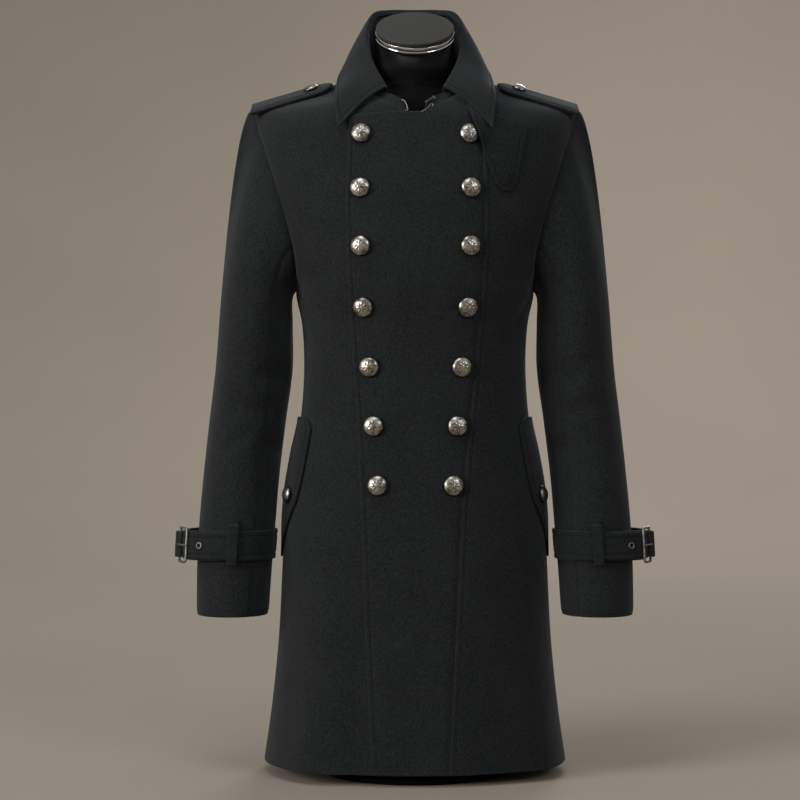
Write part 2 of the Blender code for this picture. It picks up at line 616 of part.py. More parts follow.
def build_sleeve(side, word):
    """Top sleeve and under sleeve: the armhole ring turns into the arm's sections."""
    start, leave, hold, bottom = armhole(side)
    turn = ring_turns(start, bottom)
    end = sleeve_face(side, 0.0, turn)
    back_up = unit(end - sleeve_face(side, 0.4, turn))
    length = np.linalg.norm(end - start, axis=1, keepdims=True)
    first = start + leave * length * (HEAD_LEAVE_TOP + HEAD_LEAVE_MORE * (1.0 - np.cos(turn)))[:, None]
    last = end + back_up * length * HEAD_ARRIVE
    rings = []
    for step in HEAD_STEPS:
        rest = 1.0 - step
        rings.append(rest ** 3 * start + 3 * rest ** 2 * step * first
                     + 3 * rest * step ** 2 * last + step ** 3 * end)
    for step in ARM_STEPS:
        rings.append(sleeve_face(side, step, turn))
    outer = np.array(rings)
    around = np.roll(outer, -1, axis=1) - np.roll(outer, 1, axis=1)
    normal = unit(np.cross(around, np.gradient(outer, axis=0))) * side
    own = 1.0 - np.linalg.norm(hold, axis=-1, keepdims=True)
    normal[0] = unit(hold + own * normal[0])
    inner = outer - normal * CLOTH
    count = len(turn)
    top_columns = [column % count for column in range(HIND_SEAM, FRONT_SEAM + count + 1)]
    under_columns = list(range(FRONT_SEAM, HIND_SEAM + 1))
    for name, columns in (("top_sleeve_" + word, top_columns), ("under_sleeve_" + word, under_columns)):
        low = shrink(inner[:, columns], 0, 0, SEAM / 2, SEAM / 2)
        high = shrink(outer[:, columns], 0, 0, SEAM / 2, SEAM / 2)
        wall(name, low, high, "wool")


def neckline():
    """Neckline of the inner face, from the right front round the back to the left front."""
    levels = LEVELS[LEVELS >= NECK]
    front = surface(FRONT, levels, angle_at(FRONT, levels, read_rows(FRONT, levels).x_in))
    back = surface(BACK, levels, angle_at(BACK, levels, read_rows(BACK, levels).x_in))
    left = np.concatenate([back[:-1], front[::-1]])
    return np.concatenate([(left * np.array([-1.0, 1.0, 1.0]))[:0:-1], left])


def roll_and_edge(share):
    """Roll line and outer edge of the collar; share is 0 at the centre back and 1 or -1 at the leaves."""
    row = read_rows(COLLAR, np.abs(share) * (len(COLLAR) - 1))
    sign = np.where(share < 0, -1.0, 1.0)
    roll = np.stack([sign * row.roll_x, row.roll_y, row.roll_z], axis=-1)
    edge = np.stack([sign * row.edge_x, row.edge_y, row.edge_z], axis=-1)
    return roll, edge


def collar_rows(share):
    """Roll line, edge and lip of the collar, the way out to the edge and the way down from the roll."""
    roll, edge = roll_and_edge(share)
    step = 0.02
    ahead = roll_and_edge(np.minimum(share + step, 1.0))[0]
    behind = roll_and_edge(np.maximum(share - step, -1.0))[0]
    along = unit(ahead - behind)
    up = np.array([0.0, 0.0, 1.0])
    down = unit(along * along[..., 2:] - up)
    away = edge - roll
    away[..., 2] = 0.0
    away = unit(away)
    lip = roll - away * LIP_IN + down * LIP_DOWN
    return roll, edge, lip, away, down


def build_collar():
    """Stand inside the neckline and the fall that turns over it."""
    line = neckline()
    middle = len(line) // 2
    run = np.concatenate([[0.0], np.cumsum(np.linalg.norm(np.diff(line, axis=0), axis=1))])
    share = (run - run[middle]) / (run[-1] - run[middle])
    roll, edge, lip, away, down = collar_rows(np.clip(share / LEAF_SHARE, -1.0, 1.0))
    sign = np.where(share < 0, -1.0, 1.0)
    finish = np.stack([sign * STAND_END[0], np.full(share.shape, STAND_END[1]),
                       np.full(share.shape, STAND_END[2])], axis=-1)
    blend = np.clip((np.abs(share) - LEAF_SHARE) / (1.0 - LEAF_SHARE), 0.0, 1.0)[:, None]
    top = lip + (finish - lip) * blend
    top += down * STAND_GAP
    along = unit(np.gradient(line, axis=0))
    inward = unit(np.cross(along, np.array([0.0, 0.0, 1.0])))
    foot = line + inward * (CLOTH + STAND_INSIDE)
    steps = np.linspace(0.0, 1.0, 4)[:, None, None]
    inner = foot + (top - foot) * steps
    normal = unit(np.cross(np.gradient(inner, axis=0), np.gradient(inner, axis=1)))
    stand_outer = inner + normal * CLOTH
    wall("collar_stand", inner, stand_outer, "wool")

    roll, edge, lip, away, down = collar_rows(np.linspace(-1.0, 1.0, COLLAR_COLUMNS + 1))
    up = np.array([0.0, 0.0, 1.0])
    rows = [lip, roll]
    for step in COLLAR_STEPS:
        swell = COLLAR_BULGE * math.sin(math.pi * step ** 0.7)
        rows.append(roll + (edge - roll) * step + (0.8 * away + 0.5 * up) * swell)
    outer = np.array(rows)
    normal = unit(np.cross(np.gradient(outer, axis=1), np.gradient(outer, axis=0)))
    wall("collar_fall", outer - normal * COLLAR_CLOTH, outer, "wool")
    return inner, stand_outer


def build_tab():
    """Throat tab that hangs from under the left leaf over the front and its top button."""
    inner = np.empty((len(TAB), TAB_COLUMNS + 1, 3))
    outer = np.empty_like(inner)
    left = np.array(TAB_LEFT)
    right = np.array(TAB_RIGHT)
    for row, (step, scale) in enumerate(TAB):
        near = left[0] + (left[1] - left[0]) * step
        far = right[0] + (right[1] - right[0]) * step
        centre = (near + far) / 2
        for column in range(TAB_COLUMNS + 1):
            x, z = centre + (far - near) * scale * (column / TAB_COLUMNS - 0.5)
            apart = (x - BUTTONS[0].x) ** 2 + (z - BUTTONS[0].z) ** 2
            off = TAB_OFF + TAB_BUMP * math.exp(-apart / (2 * TAB_BUMP_WIDTH ** 2))
            inner[row, column], normal = front_place(x, z, off)
            outer[row, column] = inner[row, column] + normal * CLOTH
    wall("throat_tab", inner, outer, "wool_trim")


def lathe(name, profile, sides, place, axis, kind):
    """Turned solid: the profile of radius and height pairs runs from axis to axis."""
    axis = unit(np.asarray(axis, float))
    helper = np.array([0.0, 0.0, 1.0]) if abs(axis[2]) < 0.9 else np.array([0.0, 1.0, 0.0])
    first = unit(np.cross(helper, axis))
    second = np.cross(axis, first)
    points = []
    rings = []
    for radius, height in profile:
        centre = np.asarray(place, float) + axis * height
        if radius == 0.0:
            rings.append([len(points)])
            points.append(centre)
            continue
        rings.append(list(range(len(points), len(points) + sides)))
        for step in range(sides):
            turn = 2 * math.pi * step / sides
            points.append(centre + radius * (first * math.cos(turn) + second * math.sin(turn)))
    faces = []
    for low, high in zip(rings, rings[1:]):
        for step in range(sides):
            after = (step + 1) % sides
            if len(low) == 1:
                faces.append((low[0], high[after], high[step]))
            elif len(high) == 1:
                faces.append((low[step], low[after], high[0]))
            else:
                faces.append((low[step], low[after], high[after], high[step]))
    return solid(name, points, faces, kind)


def seat(piece, place, normal, radius):
    """Place moved along the normal so that a disc there just clears the piece below it."""
    mesh = piece.data
    corners = [point.co for point in mesh.vertices]
    tree = BVHTree.FromPolygons(corners, [face.vertices for face in mesh.polygons])
    across = unit(np.cross(normal, np.array([0.0, 0.0, 1.0])))
    other = np.cross(normal, across)
    above = 0.02
    best = -above
    for turn in np.arange(12) * math.pi / 6:
        for reach in (0.0, radius / 2, radius):
            start = place + normal * above + reach * (across * math.cos(turn) + other * math.sin(turn))
            distance = tree.ray_cast(Vector(start), Vector(-normal))[3]
            if distance is not None:
                best = max(best, above - distance)
    return place + normal * (best + SEAM)


def button(name, piece, place, normal, radius, sides=12):
    """Domed button with a rounded rim, its back just off the piece that it is sewn to."""
    profile = [(radius * row.radius, radius * row.height) for row in BUTTON_PROFILE]
    back = profile[1][0]
    return lathe(name, profile, sides, seat(piece, place, normal, back), normal, "button_metal")


def tube(name, path, radius, sides, closed, kind):
    """Round wire along a path; an open wire has flat ends."""
    path = np.asarray(path, float)
    if closed:
        ahead = unit(np.roll(path, -1, axis=0) - np.roll(path, 1, axis=0))
    else:
        ahead = unit(np.gradient(path, axis=0))
    helper = unit(path.mean(axis=0) * np.array([1.0, 0.0, 0.0]) + np.array([1e-6, 0.0, 0.3]))
    first = unit(np.cross(ahead, helper))
    second = np.cross(ahead, first)
    turns = np.arange(sides) * 2 * math.pi / sides
    ring = (first[:, None] * np.cos(turns)[:, None] + second[:, None] * np.sin(turns)[:, None]) * radius
    points = (path[:, None] + ring).reshape(-1, 3)
    count = len(path)
    faces = []
    for row in range(count if closed else count - 1):
        for step in range(sides):
            after = (step + 1) % sides
            here = row * sides
            there = (row + 1) % count * sides
            faces.append((here + step, here + after, there + after, there + step))
    if not closed:
        faces.append(tuple(range(sides)))
        faces.append(tuple((count - 1) * sides + step for step in range(sides))[::-1])
    return solid(name, points, faces, kind)


def build_front_buttons():
    """Two converging columns of domed buttons on the plastron."""
    plastron = bpy.data.objects["front_plastron"]
    for index, row in enumerate(BUTTONS, start=1):
        for side, word in ((1, "left"), (-1, "right")):
            place, normal = front_place(side * row.x, row.z, 0.0)
            button("button_%s_%d" % (word, index), plastron, place, normal, BUTTON_RADIUS)


def shoulder_ridge(x):
    """Height of the coat's outer face along the shoulder seam."""
    seam = FRONT[TOP]
    share = (x - seam.x_in) / (seam.x_out - seam.x_in)
    return seam.z_in + (seam.z_out - seam.z_in) * share + CLOTH


def build_epaulette(side, word):
    """Stiff strap along the shoulder, sewn in at the sleeve and buttoned near the collar."""
    low = np.empty((len(EPAULETTE), len(EPAULETTE_ACROSS), 3))
    high = np.empty_like(low)
    for row, (x, drop, half) in enumerate(EPAULETTE):
        y = EPAULETTE_Y + half * EPAULETTE_ACROSS
        base = shoulder_ridge(x) + EPAULETTE_OFF - drop + (y - SIDE_Y) * EPAULETTE_LEAN
        low[row] = np.stack([np.full(y.shape, side * x), y, base + EPAULETTE_THIN * EPAULETTE_THICK], axis=-1)
        high[row] = low[row]
        high[row, :, 2] = base + EPAULETTE_THICK * (1.0 - EPAULETTE_THIN)
    strap = wall("epaulette_" + word, low, high, "wool_trim")
    top = shoulder_ridge(EPAULETTE_BUTTON_X) + EPAULETTE_OFF + EPAULETTE_THICK
    top += (EPAULETTE_Y - SIDE_Y) * EPAULETTE_LEAN
    place = np.array([side * EPAULETTE_BUTTON_X, EPAULETTE_Y, top])
    slope = (FRONT[TOP].z_in - FRONT[TOP].z_out) / (FRONT[TOP].x_out - FRONT[TOP].x_in)
    normal = unit(np.array([side * slope, -EPAULETTE_LEAN, 1.0]))
    button("epaulette_button_" + word, strap, place, normal, SHOULDER_BUTTON_RADIUS, 10)


def build_flap(side, word):
    """Upright pocket flap sewn down at the side seam, with a slanted lower edge."""
    heights = np.array([row.z for row in FLAP])
    turn = np.array([row.turn for row in FLAP])
    level = np.interp(heights, [row.z_in for row in FRONT[:ARMPIT]], np.arange(ARMPIT))
    share = np.linspace(0.0, 1.0, FLAP_COLUMNS + 1)
    angle = math.pi / 2 - (FLAP_REAR + (turn[:, None] - FLAP_REAR) * share)
    level = np.broadcast_to(level[:, None], angle.shape)
    normal = outward(FRONT, level, angle)
    inner = surface(FRONT, level, angle) + normal * (CLOTH + FLAP_OFF)
    outer = inner + normal * FLAP_CLOTH
    mirror = np.array([side, 1.0, 1.0])
    flap = wall("pocket_flap_" + word, inner * mirror, outer * mirror, "wool_trim")
    place, normal = front_place(FLAP_BUTTON[0], FLAP_BUTTON[1], FLAP_OFF + FLAP_CLOTH)
    button("pocket_button_" + word, flap, place * mirror, normal * mirror, POCKET_BUTTON_RADIUS, 10)


def strap_off(turn):
    """Stand-off of the cuff strap's inner face from the sleeve."""
    apart = np.angle(np.exp(1j * (np.asarray(turn, float) - STRAP_BULGE_TURN)))
    return STRAP_OFF + STRAP_BULGE * np.exp(-(apart / STRAP_BULGE_WIDTH) ** 2)


def strap_place(side, turn, rise, off):
    """Point round the cuff strap: rise is from its middle line, off from the sleeve's face."""
    heights = [row.z for row in SLEEVE][::-1]
    level = np.interp(STRAP_Z + np.asarray(rise, float), heights, np.arange(len(SLEEVE))[::-1])
    return sleeve_face(side, level, turn, off)


def build_cuff(side, word):
    """Strap round the cuff with its tongue, loop, buckle, prong and eyelet."""
    turns = np.arange(STRAP_COLUMNS) * 2 * math.pi / STRAP_COLUMNS
    rise = np.array([-STRAP_HALF, STRAP_HALF])[:, None]
    base = strap_off(turns)
    inner = strap_place(side, turns, rise, base)
    outer = strap_place(side, turns, rise, base + STRAP_CLOTH)
    wall("cuff_strap_" + word, inner, outer, "wool_trim", ring=True)

    turns = np.arange(TONGUE_FROM, TONGUE_TO + 1) * 2 * math.pi / STRAP_COLUMNS
    over = strap_off(turns) + STRAP_CLOTH + SEAM
    narrow = np.ones(len(turns))
    narrow[-1] = TONGUE_END
    rise = np.array([-TONGUE_HALF, TONGUE_HALF])[:, None] * narrow
    wall("strap_tongue_" + word, strap_place(side, turns, rise, over),
         strap_place(side, turns, rise, over + TONGUE_CLOTH), "wool_trim")

    turns = LOOP_TURN + np.array([-1.0, 0.0, 1.0]) * LOOP_HALF_TURN
    rise = np.array([row.rise for row in LOOP])[:, None]
    outer_rise = np.array([row.outer_rise for row in LOOP])[:, None]
    off = np.array([row.off for row in LOOP])[:, None]
    wall("strap_loop_" + word, strap_place(side, turns, rise, off),
         strap_place(side, turns, outer_rise, off + LOOP_CLOTH), "wool_trim")

    near = BUCKLE_CORNER
    corners = [(-1, -near), (-1, 0), (-1, near), (-near, 1), (0, 1), (near, 1),
               (1, near), (1, 0), (1, -near), (near, -1), (0, -1), (-near, -1)]
    skin = STRAP_CLOTH + TONGUE_CLOTH + 2 * SEAM
    path = []
    for across, up in corners:
        turn = BUCKLE_TURN + across * BUCKLE_HALF_TURN
        off = strap_off(turn) + skin + SEAM + BUCKLE_WIRE
        path.append(strap_place(side, turn, up * BUCKLE_HALF, off))
    tube("cuff_buckle_" + word, path, BUCKLE_WIRE, 6, True, "fitting_metal")

    path = []
    for across in np.linspace(-PRONG_REACH, PRONG_REACH, 6):
        turn = BUCKLE_TURN + across * BUCKLE_HALF_TURN
        off = strap_off(turn) + skin + 2 * SEAM + 2 * BUCKLE_WIRE + PRONG_WIRE
        path.append(strap_place(side, turn, 0.0, off))
    tube("buckle_prong_" + word, path, PRONG_WIRE, 6, False, "fitting_metal")

    centre = strap_place(side, EYELET_TURN, 0.0, strap_off(EYELET_TURN) + skin)
    ahead = strap_place(side, EYELET_TURN + 0.05, 0.0, strap_off(EYELET_TURN + 0.05) + skin) - centre
    above = strap_place(side, EYELET_TURN, 0.01, strap_off(EYELET_TURN) + skin) - centre
    normal = unit(np.cross(above, ahead)) * side
    first = unit(ahead)
    second = np.cross(normal, first)
    turns = np.arange(12) * math.pi / 6
    ring = first * np.cos(turns)[:, None] + second * np.sin(turns)[:, None]
    path = centre + normal * EYELET_WIRE + ring * (EYELET_RADIUS - EYELET_WIRE)
    tube("strap_eyelet_" + word, path, EYELET_WIRE, 5, True, "fitting_metal")


def build_hooks(inner, outer):
    """Two wire hooks on the left end of the stand and an eye bar on its right end."""
    out = unit(outer - inner)
    off = HOOK_OFF + HOOK_WIRE

    def on_stand(row, column):
        low = int(row)
        part = row - low
        high = min(low + 1, outer.shape[0] - 1)
        point = outer[low, column] * (1.0 - part) + outer[high, column] * part
        return point + out[low, column] * off

    for name, row in HOOK_ROWS.items():
        base = on_stand(row, -2)
        end = on_stand(row, -1)
        tip = end + unit(end - base) * HOOK_REACH
        turn_back = tip + np.array([0.0, -HOOK_TURN, 0.0])
        point = (end + turn_back) / 2 + np.array([0.0, -HOOK_TIP, 0.0])
        path = [base, (base + end) / 2, end, tip, turn_back, point]
        tube(name, path, HOOK_WIRE, 6, False, "fitting_metal")
    path = [on_stand(row, 0) for row in EYE_ROWS]
    tube("collar_eye", path, HOOK_WIRE, 6, False, "fitting_metal")


def build_form():
    """Limbless torso with its neck, the capped neck, the pole and the base plate."""
    turns = np.arange(FORM_COLUMNS) * 2 * math.pi / FORM_COLUMNS
    points = []
    for row in FORM:
        power = 2.0 / row.square
        middle = SIDE_Y if row.tilt == 0.0 else (row.front + row.back) / 2
        x = row.half_width * signed_power(np.cos(turns), power)
        sine = signed_power(np.sin(turns), power)
        y = middle + np.where(sine < 0, middle - row.front, row.back - middle) * sine
        z = row.z + (y - middle) * row.tilt
        points.append(np.stack([x, y, z], axis=-1))
    points = np.array(points)
    count = FORM_COLUMNS
    faces = []
    for row in range(len(FORM) - 1):
        for step in range(count):
            after = (step + 1) % count
            here = row * count
            faces.append((here + step, here + after, here + count + after, here + count + step))
    faces.append(tuple(range(count))[::-1])
    faces.append(tuple((len(FORM) - 1) * count + step for step in range(count)))
    solid("form_torso", points.reshape(-1, 3), faces, "form_gloss")

    axis = np.array([0.0, -math.sin(NECK_TILT), math.cos(NECK_TILT)])
    place = np.array(NECK_TOP)
    cap_start = NECK_RING_HEIGHT + 2 * SEAM
    for name, radius, start, height in (("form_neck_ring", NECK_RING_RADIUS, SEAM, NECK_RING_HEIGHT),
                                        ("form_neck_cap", NECK_CAP_RADIUS, cap_start, NECK_CAP_HEIGHT)):
        end = start + height
        profile = [(0.0, start), (radius - EDGE_ROUND, start), (radius, start + EDGE_ROUND),
                   (radius, end - EDGE_ROUND), (radius - EDGE_ROUND, end), (0.0, end)]
        lathe(name, profile, FORM_COLUMNS, place, axis, "form_chrome")

    up = np.array([0.0, 0.0, 1.0])
    low = BASE_THICK + SEAM
    high = FORM[0].z - SEAM
    profile = [(0.0, low), (POLE_RADIUS, low), (POLE_RADIUS, high), (0.0, high)]
    lathe("form_pole", profile, 20, np.zeros(3), up, "form_chrome")
    profile = [(0.0, 0.0), (BASE_RADIUS, 0.0), (BASE_RADIUS, BASE_THICK - EDGE_ROUND),
               (BASE_RADIUS - EDGE_ROUND, BASE_THICK), (0.0, BASE_THICK)]
    lathe("form_base", profile, 40, np.zeros(3), up, "form_gloss")


clear_scene()
build_body()
for SIDE, WORD in ((1, "left"), (-1, "right")):
    build_sleeve(SIDE, WORD)
    build_epaulette(SIDE, WORD)
    build_flap(SIDE, WORD)
    build_cuff(SIDE, WORD)
STAND_INNER, STAND_OUTER = build_collar()
build_tab()
build_front_buttons()
build_hooks(STAND_INNER, STAND_OUTER)
build_form()
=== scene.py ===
# %% [markdown]
# # A double-breasted long coat on a dress form
# A tailor's coat is a set of flat panels sewn into tubes and hung from the shoulders of a form.
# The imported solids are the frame: they stay where they are and carry the collision. Every piece that
# shows is worked out again here as a fine numpy surface that stands for its solid.

# %% Load the frame
import math
from collections import namedtuple

import bpy
import numpy as np
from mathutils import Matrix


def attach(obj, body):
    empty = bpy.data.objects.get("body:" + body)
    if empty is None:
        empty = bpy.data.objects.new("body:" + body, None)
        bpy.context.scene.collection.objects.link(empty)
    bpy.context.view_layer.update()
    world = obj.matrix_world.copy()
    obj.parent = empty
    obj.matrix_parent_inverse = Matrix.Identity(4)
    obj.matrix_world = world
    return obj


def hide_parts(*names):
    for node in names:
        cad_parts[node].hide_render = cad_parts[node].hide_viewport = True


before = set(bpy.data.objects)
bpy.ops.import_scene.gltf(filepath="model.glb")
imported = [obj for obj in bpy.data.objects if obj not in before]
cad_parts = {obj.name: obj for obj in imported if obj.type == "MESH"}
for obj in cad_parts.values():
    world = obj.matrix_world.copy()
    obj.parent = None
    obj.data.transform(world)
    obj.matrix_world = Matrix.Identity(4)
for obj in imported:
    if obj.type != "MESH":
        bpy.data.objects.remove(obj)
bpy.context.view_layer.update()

# %% [markdown]
# ## From grids to meshes
# A sheet could be a plane with modifiers, but a grid of points is easier to reason about: rows run
# along the piece and columns across it. Real cloth has a thickness, so a sheet becomes a closed wall:
# the grid, the same grid moved in, and a half-round rim between them where the edge is turned.


# %% Small sums on arrays
def unit(vectors):
    """Vectors divided by their own length."""
    return vectors / np.maximum(np.linalg.norm(vectors, axis=-1, keepdims=True), 1e-12)


def smooth(value):
    """Smooth step: 3 v squared minus 2 v cubed, held at 0 and 1."""
    value = np.clip(value, 0.0, 1.0)
    return value * value * (3.0 - 2.0 * value)


def spline(values, at):
    """Catmull-Rom curve through values at 0, 1, 2 and on, read at the places given."""
    values = np.asarray(values, float)
    at = np.clip(np.asarray(at, float), 0.0, len(values) - 1.0)
    index = np.minimum(at.astype(int), len(values) - 2)
    part = (at - index).reshape(at.shape + (1,) * (values.ndim - 1))
    padded = np.concatenate([[2 * values[0] - values[1]], values, [2 * values[-1] - values[-2]]])
    before, here, after, beyond = (padded[index + step] for step in range(4))
    return 0.5 * (2 * here + (after - before) * part
                  + (2 * before - 5 * here + 4 * after - beyond) * part ** 2
                  + (3 * here - before - 3 * after + beyond) * part ** 3)


def circle(count):
    """Turns evenly spaced round a circle, so many."""
    return np.linspace(0.0, 2 * math.pi, count + 1)[:-1]


def read_rows(table, at):
    """A table's columns, each read as a spline at the places given."""
    return type(table[0])(*(spline(column, at) for column in zip(*table)))


def runs(points):
    """Distance run along the first axis of an array of points, from its start."""
    steps = np.linalg.norm(np.diff(points, axis=0), axis=-1)
    return np.concatenate([np.zeros_like(steps[:1]), np.cumsum(steps, axis=0)])


# %% Grids, walls and rings
def quads(rows, columns, wrap=False):
    """Corners of the cells of a grid; wrap joins the last column to the first."""
    row = np.arange(rows - 1)[:, None] * columns
    left = np.arange(columns if wrap else columns - 1)[None, :]
    right = (left + 1) % columns
    return np.stack([row + left, row + right, row + columns + right, row + columns + left], -1).reshape(-1, 4)


def facing(grid, wrap=False):
    """Direction out of a grid: its step along the columns crossed with its step along the rows."""
    across = np.roll(grid, -1, 1) - np.roll(grid, 1, 1) if wrap else np.gradient(grid, axis=1)
    return unit(np.cross(across, np.gradient(grid, axis=0)))


def new_object(name, points, faces, finish):
    """Smooth mesh object at the origin, linked to the scene."""
    mesh = bpy.data.meshes.new(name)
    mesh.from_pydata(np.asarray(points).reshape(-1, 3).tolist(), [], faces)
    mesh.polygons.foreach_set("use_smooth", np.ones(len(mesh.polygons), bool))
    mesh.materials.append(finish)
    made = bpy.data.objects.new(name, mesh)
    bpy.context.scene.collection.objects.link(made)
    return made


def put(name, points, faces, finish, slot, *nodes, marks=None):
    """Object that rides on the root body and stands for its solids; marks are numbers kept at its points."""
    piece = new_object(name, points, faces, finish)
    for key, values in (marks or {}).items():
        mark = piece.data.attributes.new(key, "FLOAT", "POINT")
        mark.data.foreach_set("value", np.ravel(values).astype(np.float32))
    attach(piece, "root")
    if nodes:
        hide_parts(*nodes)
    return piece


def border(rows, columns):
    """Point numbers round the edge of a grid, in order."""
    return np.concatenate([np.arange(columns), np.arange(1, rows) * columns + columns - 1,
                           (rows - 1) * columns + np.arange(columns - 2, -1, -1),
                           np.arange(rows - 2, 0, -1) * columns])


def edge_ways(grid):
    """Directions that leave the grid at its edge, along its own surface."""
    way = np.zeros_like(grid)
    way[0] += unit(grid[0] - grid[1])
    way[-1] += unit(grid[-1] - grid[-2])
    way[:, 0] += unit(grid[:, 0] - grid[:, 1])
    way[:, -1] += unit(grid[:, -1] - grid[:, -2])
    return unit(way)


def wall(grid, thick, out=None, rim=3, power=1.0):
    """Closed wall of points and faces: the grid, the grid moved in by the thickness, and a rim that is a
    half circle, cosine along the thickness and sine along the way out of the edge. A power below 1 of
    both makes the rim squarer."""
    rows, columns = grid.shape[:2]
    out = facing(grid) if out is None else out
    inner = grid - out * thick
    loop = border(rows, columns)
    high = grid.reshape(-1, 3)[loop]
    low = inner.reshape(-1, 3)[loop]
    away = edge_ways(grid).reshape(-1, 3)[loop]
    turn = np.linspace(0.0, math.pi, rim + 2)[1:-1, None, None]
    rise = np.sign(np.cos(turn)) * np.abs(np.cos(turn)) ** power
    round_edge = (high + low) / 2 + (high - low) / 2 * rise + away * thick / 2 * np.sin(turn) ** power
    count = rows * columns
    top = quads(rows, columns)
    rings = np.concatenate([[loop], 2 * count + np.arange(rim * len(loop)).reshape(rim, -1), [loop + count]])
    after = np.roll(rings, -1, axis=1)
    rims = np.stack([rings[:-1], rings[1:], after[1:], after[:-1]], -1).reshape(-1, 4)
    points = np.concatenate([grid.reshape(-1, 3), inner.reshape(-1, 3), round_edge.reshape(-1, 3)])
    return points, np.concatenate([top, top[:, ::-1] + count, rims]).tolist()


def capped(rings, start, end):
    """Closed skins over stacks of rings, shape stacks by rings by sides; each stack ends in two poles."""
    stacks, rows, sides = rings.shape[:3]
    size = rows * sides + 2
    points = np.concatenate([rings.reshape(stacks, -1, 3), start[:, None], end[:, None]], axis=1)
    side = np.arange(sides)
    after = (side + 1) % sides
    first = np.stack([np.full(sides, rows * sides), after, side], -1)
    base = (rows - 1) * sides
    last = np.stack([np.full(sides, rows * sides + 1), base + side, base + after], -1)
    shift = np.arange(stacks)[:, None, None] * size
    body = (quads(rows, sides, True)[None] + shift).reshape(-1, 4)
    ends = (np.concatenate([first, last])[None] + shift).reshape(-1, 3)
    return points.reshape(-1, 3), body.tolist() + ends.tolist()


def flat_size(grid):
    """Width, length and area of the flat cut of a grid: its longest runs and the sum of its cells."""
    width = runs(np.swapaxes(grid, 0, 1))[-1].max()
    length = runs(grid)[-1].max()
    first = np.cross(grid[1:, 1:] - grid[:-1, :-1], grid[:-1, 1:] - grid[1:, :-1])
    return width, length, np.linalg.norm(first, axis=-1).sum() / 2


# %% [markdown]
# ## Shader sums in Python
# Node trees are quick to click and slow to read. One class wraps a socket, so a sum of sockets is
# written as a sum and adds its own Math nodes; one method adds any other node.


# %% A socket that can be added and multiplied
class Wire:
    """A node socket; sums and products of it add Math nodes to its tree."""

    def __init__(self, tree, socket):
        self.tree = tree
        self.socket = socket

    def math(self, operation, first, second):
        made = self.tree.nodes.new("ShaderNodeMath")
        made.operation = operation
        for place, value in zip(made.inputs, (first, second)):
            if isinstance(value, Wire):
                self.tree.links.new(value.socket, place)
            else:
                place.default_value = value
        return Wire(self.tree, made.outputs[0])

    def __add__(self, other):
        return self.math("ADD", self, other)

    def __sub__(self, other):
        return self.math("SUBTRACT", self, other)

    def __rsub__(self, other):
        return self.math("SUBTRACT", other, self)

    def __mul__(self, other):
        return self.math("MULTIPLY", self, other)

    __radd__ = __add__
    __rmul__ = __mul__


class Finish:
    """A material with one Principled shader; its tree is filled by node()."""

    def __init__(self, name, **settings):
        self.material = bpy.data.materials.new(name)
        self.material.use_nodes = True
        self.tree = self.material.node_tree
        self.shader = self.tree.nodes["Principled BSDF"]
        for key, value in settings.items():
            self.shader.inputs[key.replace("_", " ")].default_value = value

    def node(self, kind, settings=None, sockets=None, out=0):
        """Any node: settings first, then values or links of its sockets; gives back one output."""
        made = self.tree.nodes.new(kind)
        for key, value in (settings or {}).items():
            setattr(made, key, value)
        for key, value in (sockets or {}).items():
            if isinstance(value, Wire):
                self.tree.links.new(value.socket, made.inputs[key])
            else:
                made.inputs[key].default_value = value
        return Wire(self.tree, made.outputs[out])

    def noise(self, scale, detail=2.0, rough=0.5, stretch=(1.0, 1.0, 1.0)):
        """Soft noise on Object coordinates, so many lumps to the metre, stretched along the axes."""
        place = self.node("ShaderNodeTexCoord", out=3)
        place = self.node("ShaderNodeMapping", None, {"Vector": place, "Scale": stretch})
        return self.node("ShaderNodeTexNoise", None,
                         {"Vector": place, "Scale": scale, "Detail": detail, "Roughness": rough})

    def mark(self, key):
        """A number that the piece keeps at its points."""
        return self.node("ShaderNodeAttribute", {"attribute_name": key}, out=2)

    def mix(self, share, first, second):
        """Colour between two, by share."""
        return self.node("ShaderNodeMix", {"data_type": "RGBA"}, {0: share, 6: first, 7: second}, 2)

    def feed(self, **sockets):
        """Link values to the shader's sockets."""
        for key, value in sockets.items():
            self.tree.links.new(value.socket, self.shader.inputs[key.replace("_", " ")])

    def bump(self, height, distance, strength=1.0):
        """Raise the surface by a height in the shader alone."""
        raised = self.node("ShaderNodeBump", None,
                           {"Height": height, "Distance": distance, "Strength": strength})
        self.feed(Normal=raised)


# %% [markdown]
# ## The cloth
# The coat is a heavy milled wool: woven, then felted until the weave hardly shows, and brushed so that
# short fibres lie on it. It looks almost black, with a soft grey bloom where light grazes it. A plain
# dark colour would look like plastic, so the fibres are a fine bump, the dye is a little uneven, and
# sheen gives the bloom.


# %% Wool and thread
def wool_finish(name, colour, lighter):
    """Felted wool: patches of dye, flecks of fibre and a bump of fine noise at two scales."""
    wool = Finish(name, Roughness=0.9, Specular_IOR_Level=0.16, Sheen_Weight=0.15, Sheen_Roughness=0.38,
                  Sheen_Tint=(0.80, 0.86, 0.92, 1.0))
    patch = wool.noise(22.0, 3.0)
    fleck = wool.noise(1400.0, 2.0, 0.6)
    fibre = wool.noise(600.0, 3.0, 0.7, (1.0, 1.0, 0.5))
    share = patch * 0.4 + (fleck - 0.5) * 2.4 + (fibre - 0.5) * 2.8 + 0.28
    wool.feed(Base_Color=wool.mix(share, colour, lighter), Roughness=0.80 + fibre * 0.22)
    wool.bump(fibre * 0.7 + fleck * 0.3, 0.0011, 0.9)
    return wool.material


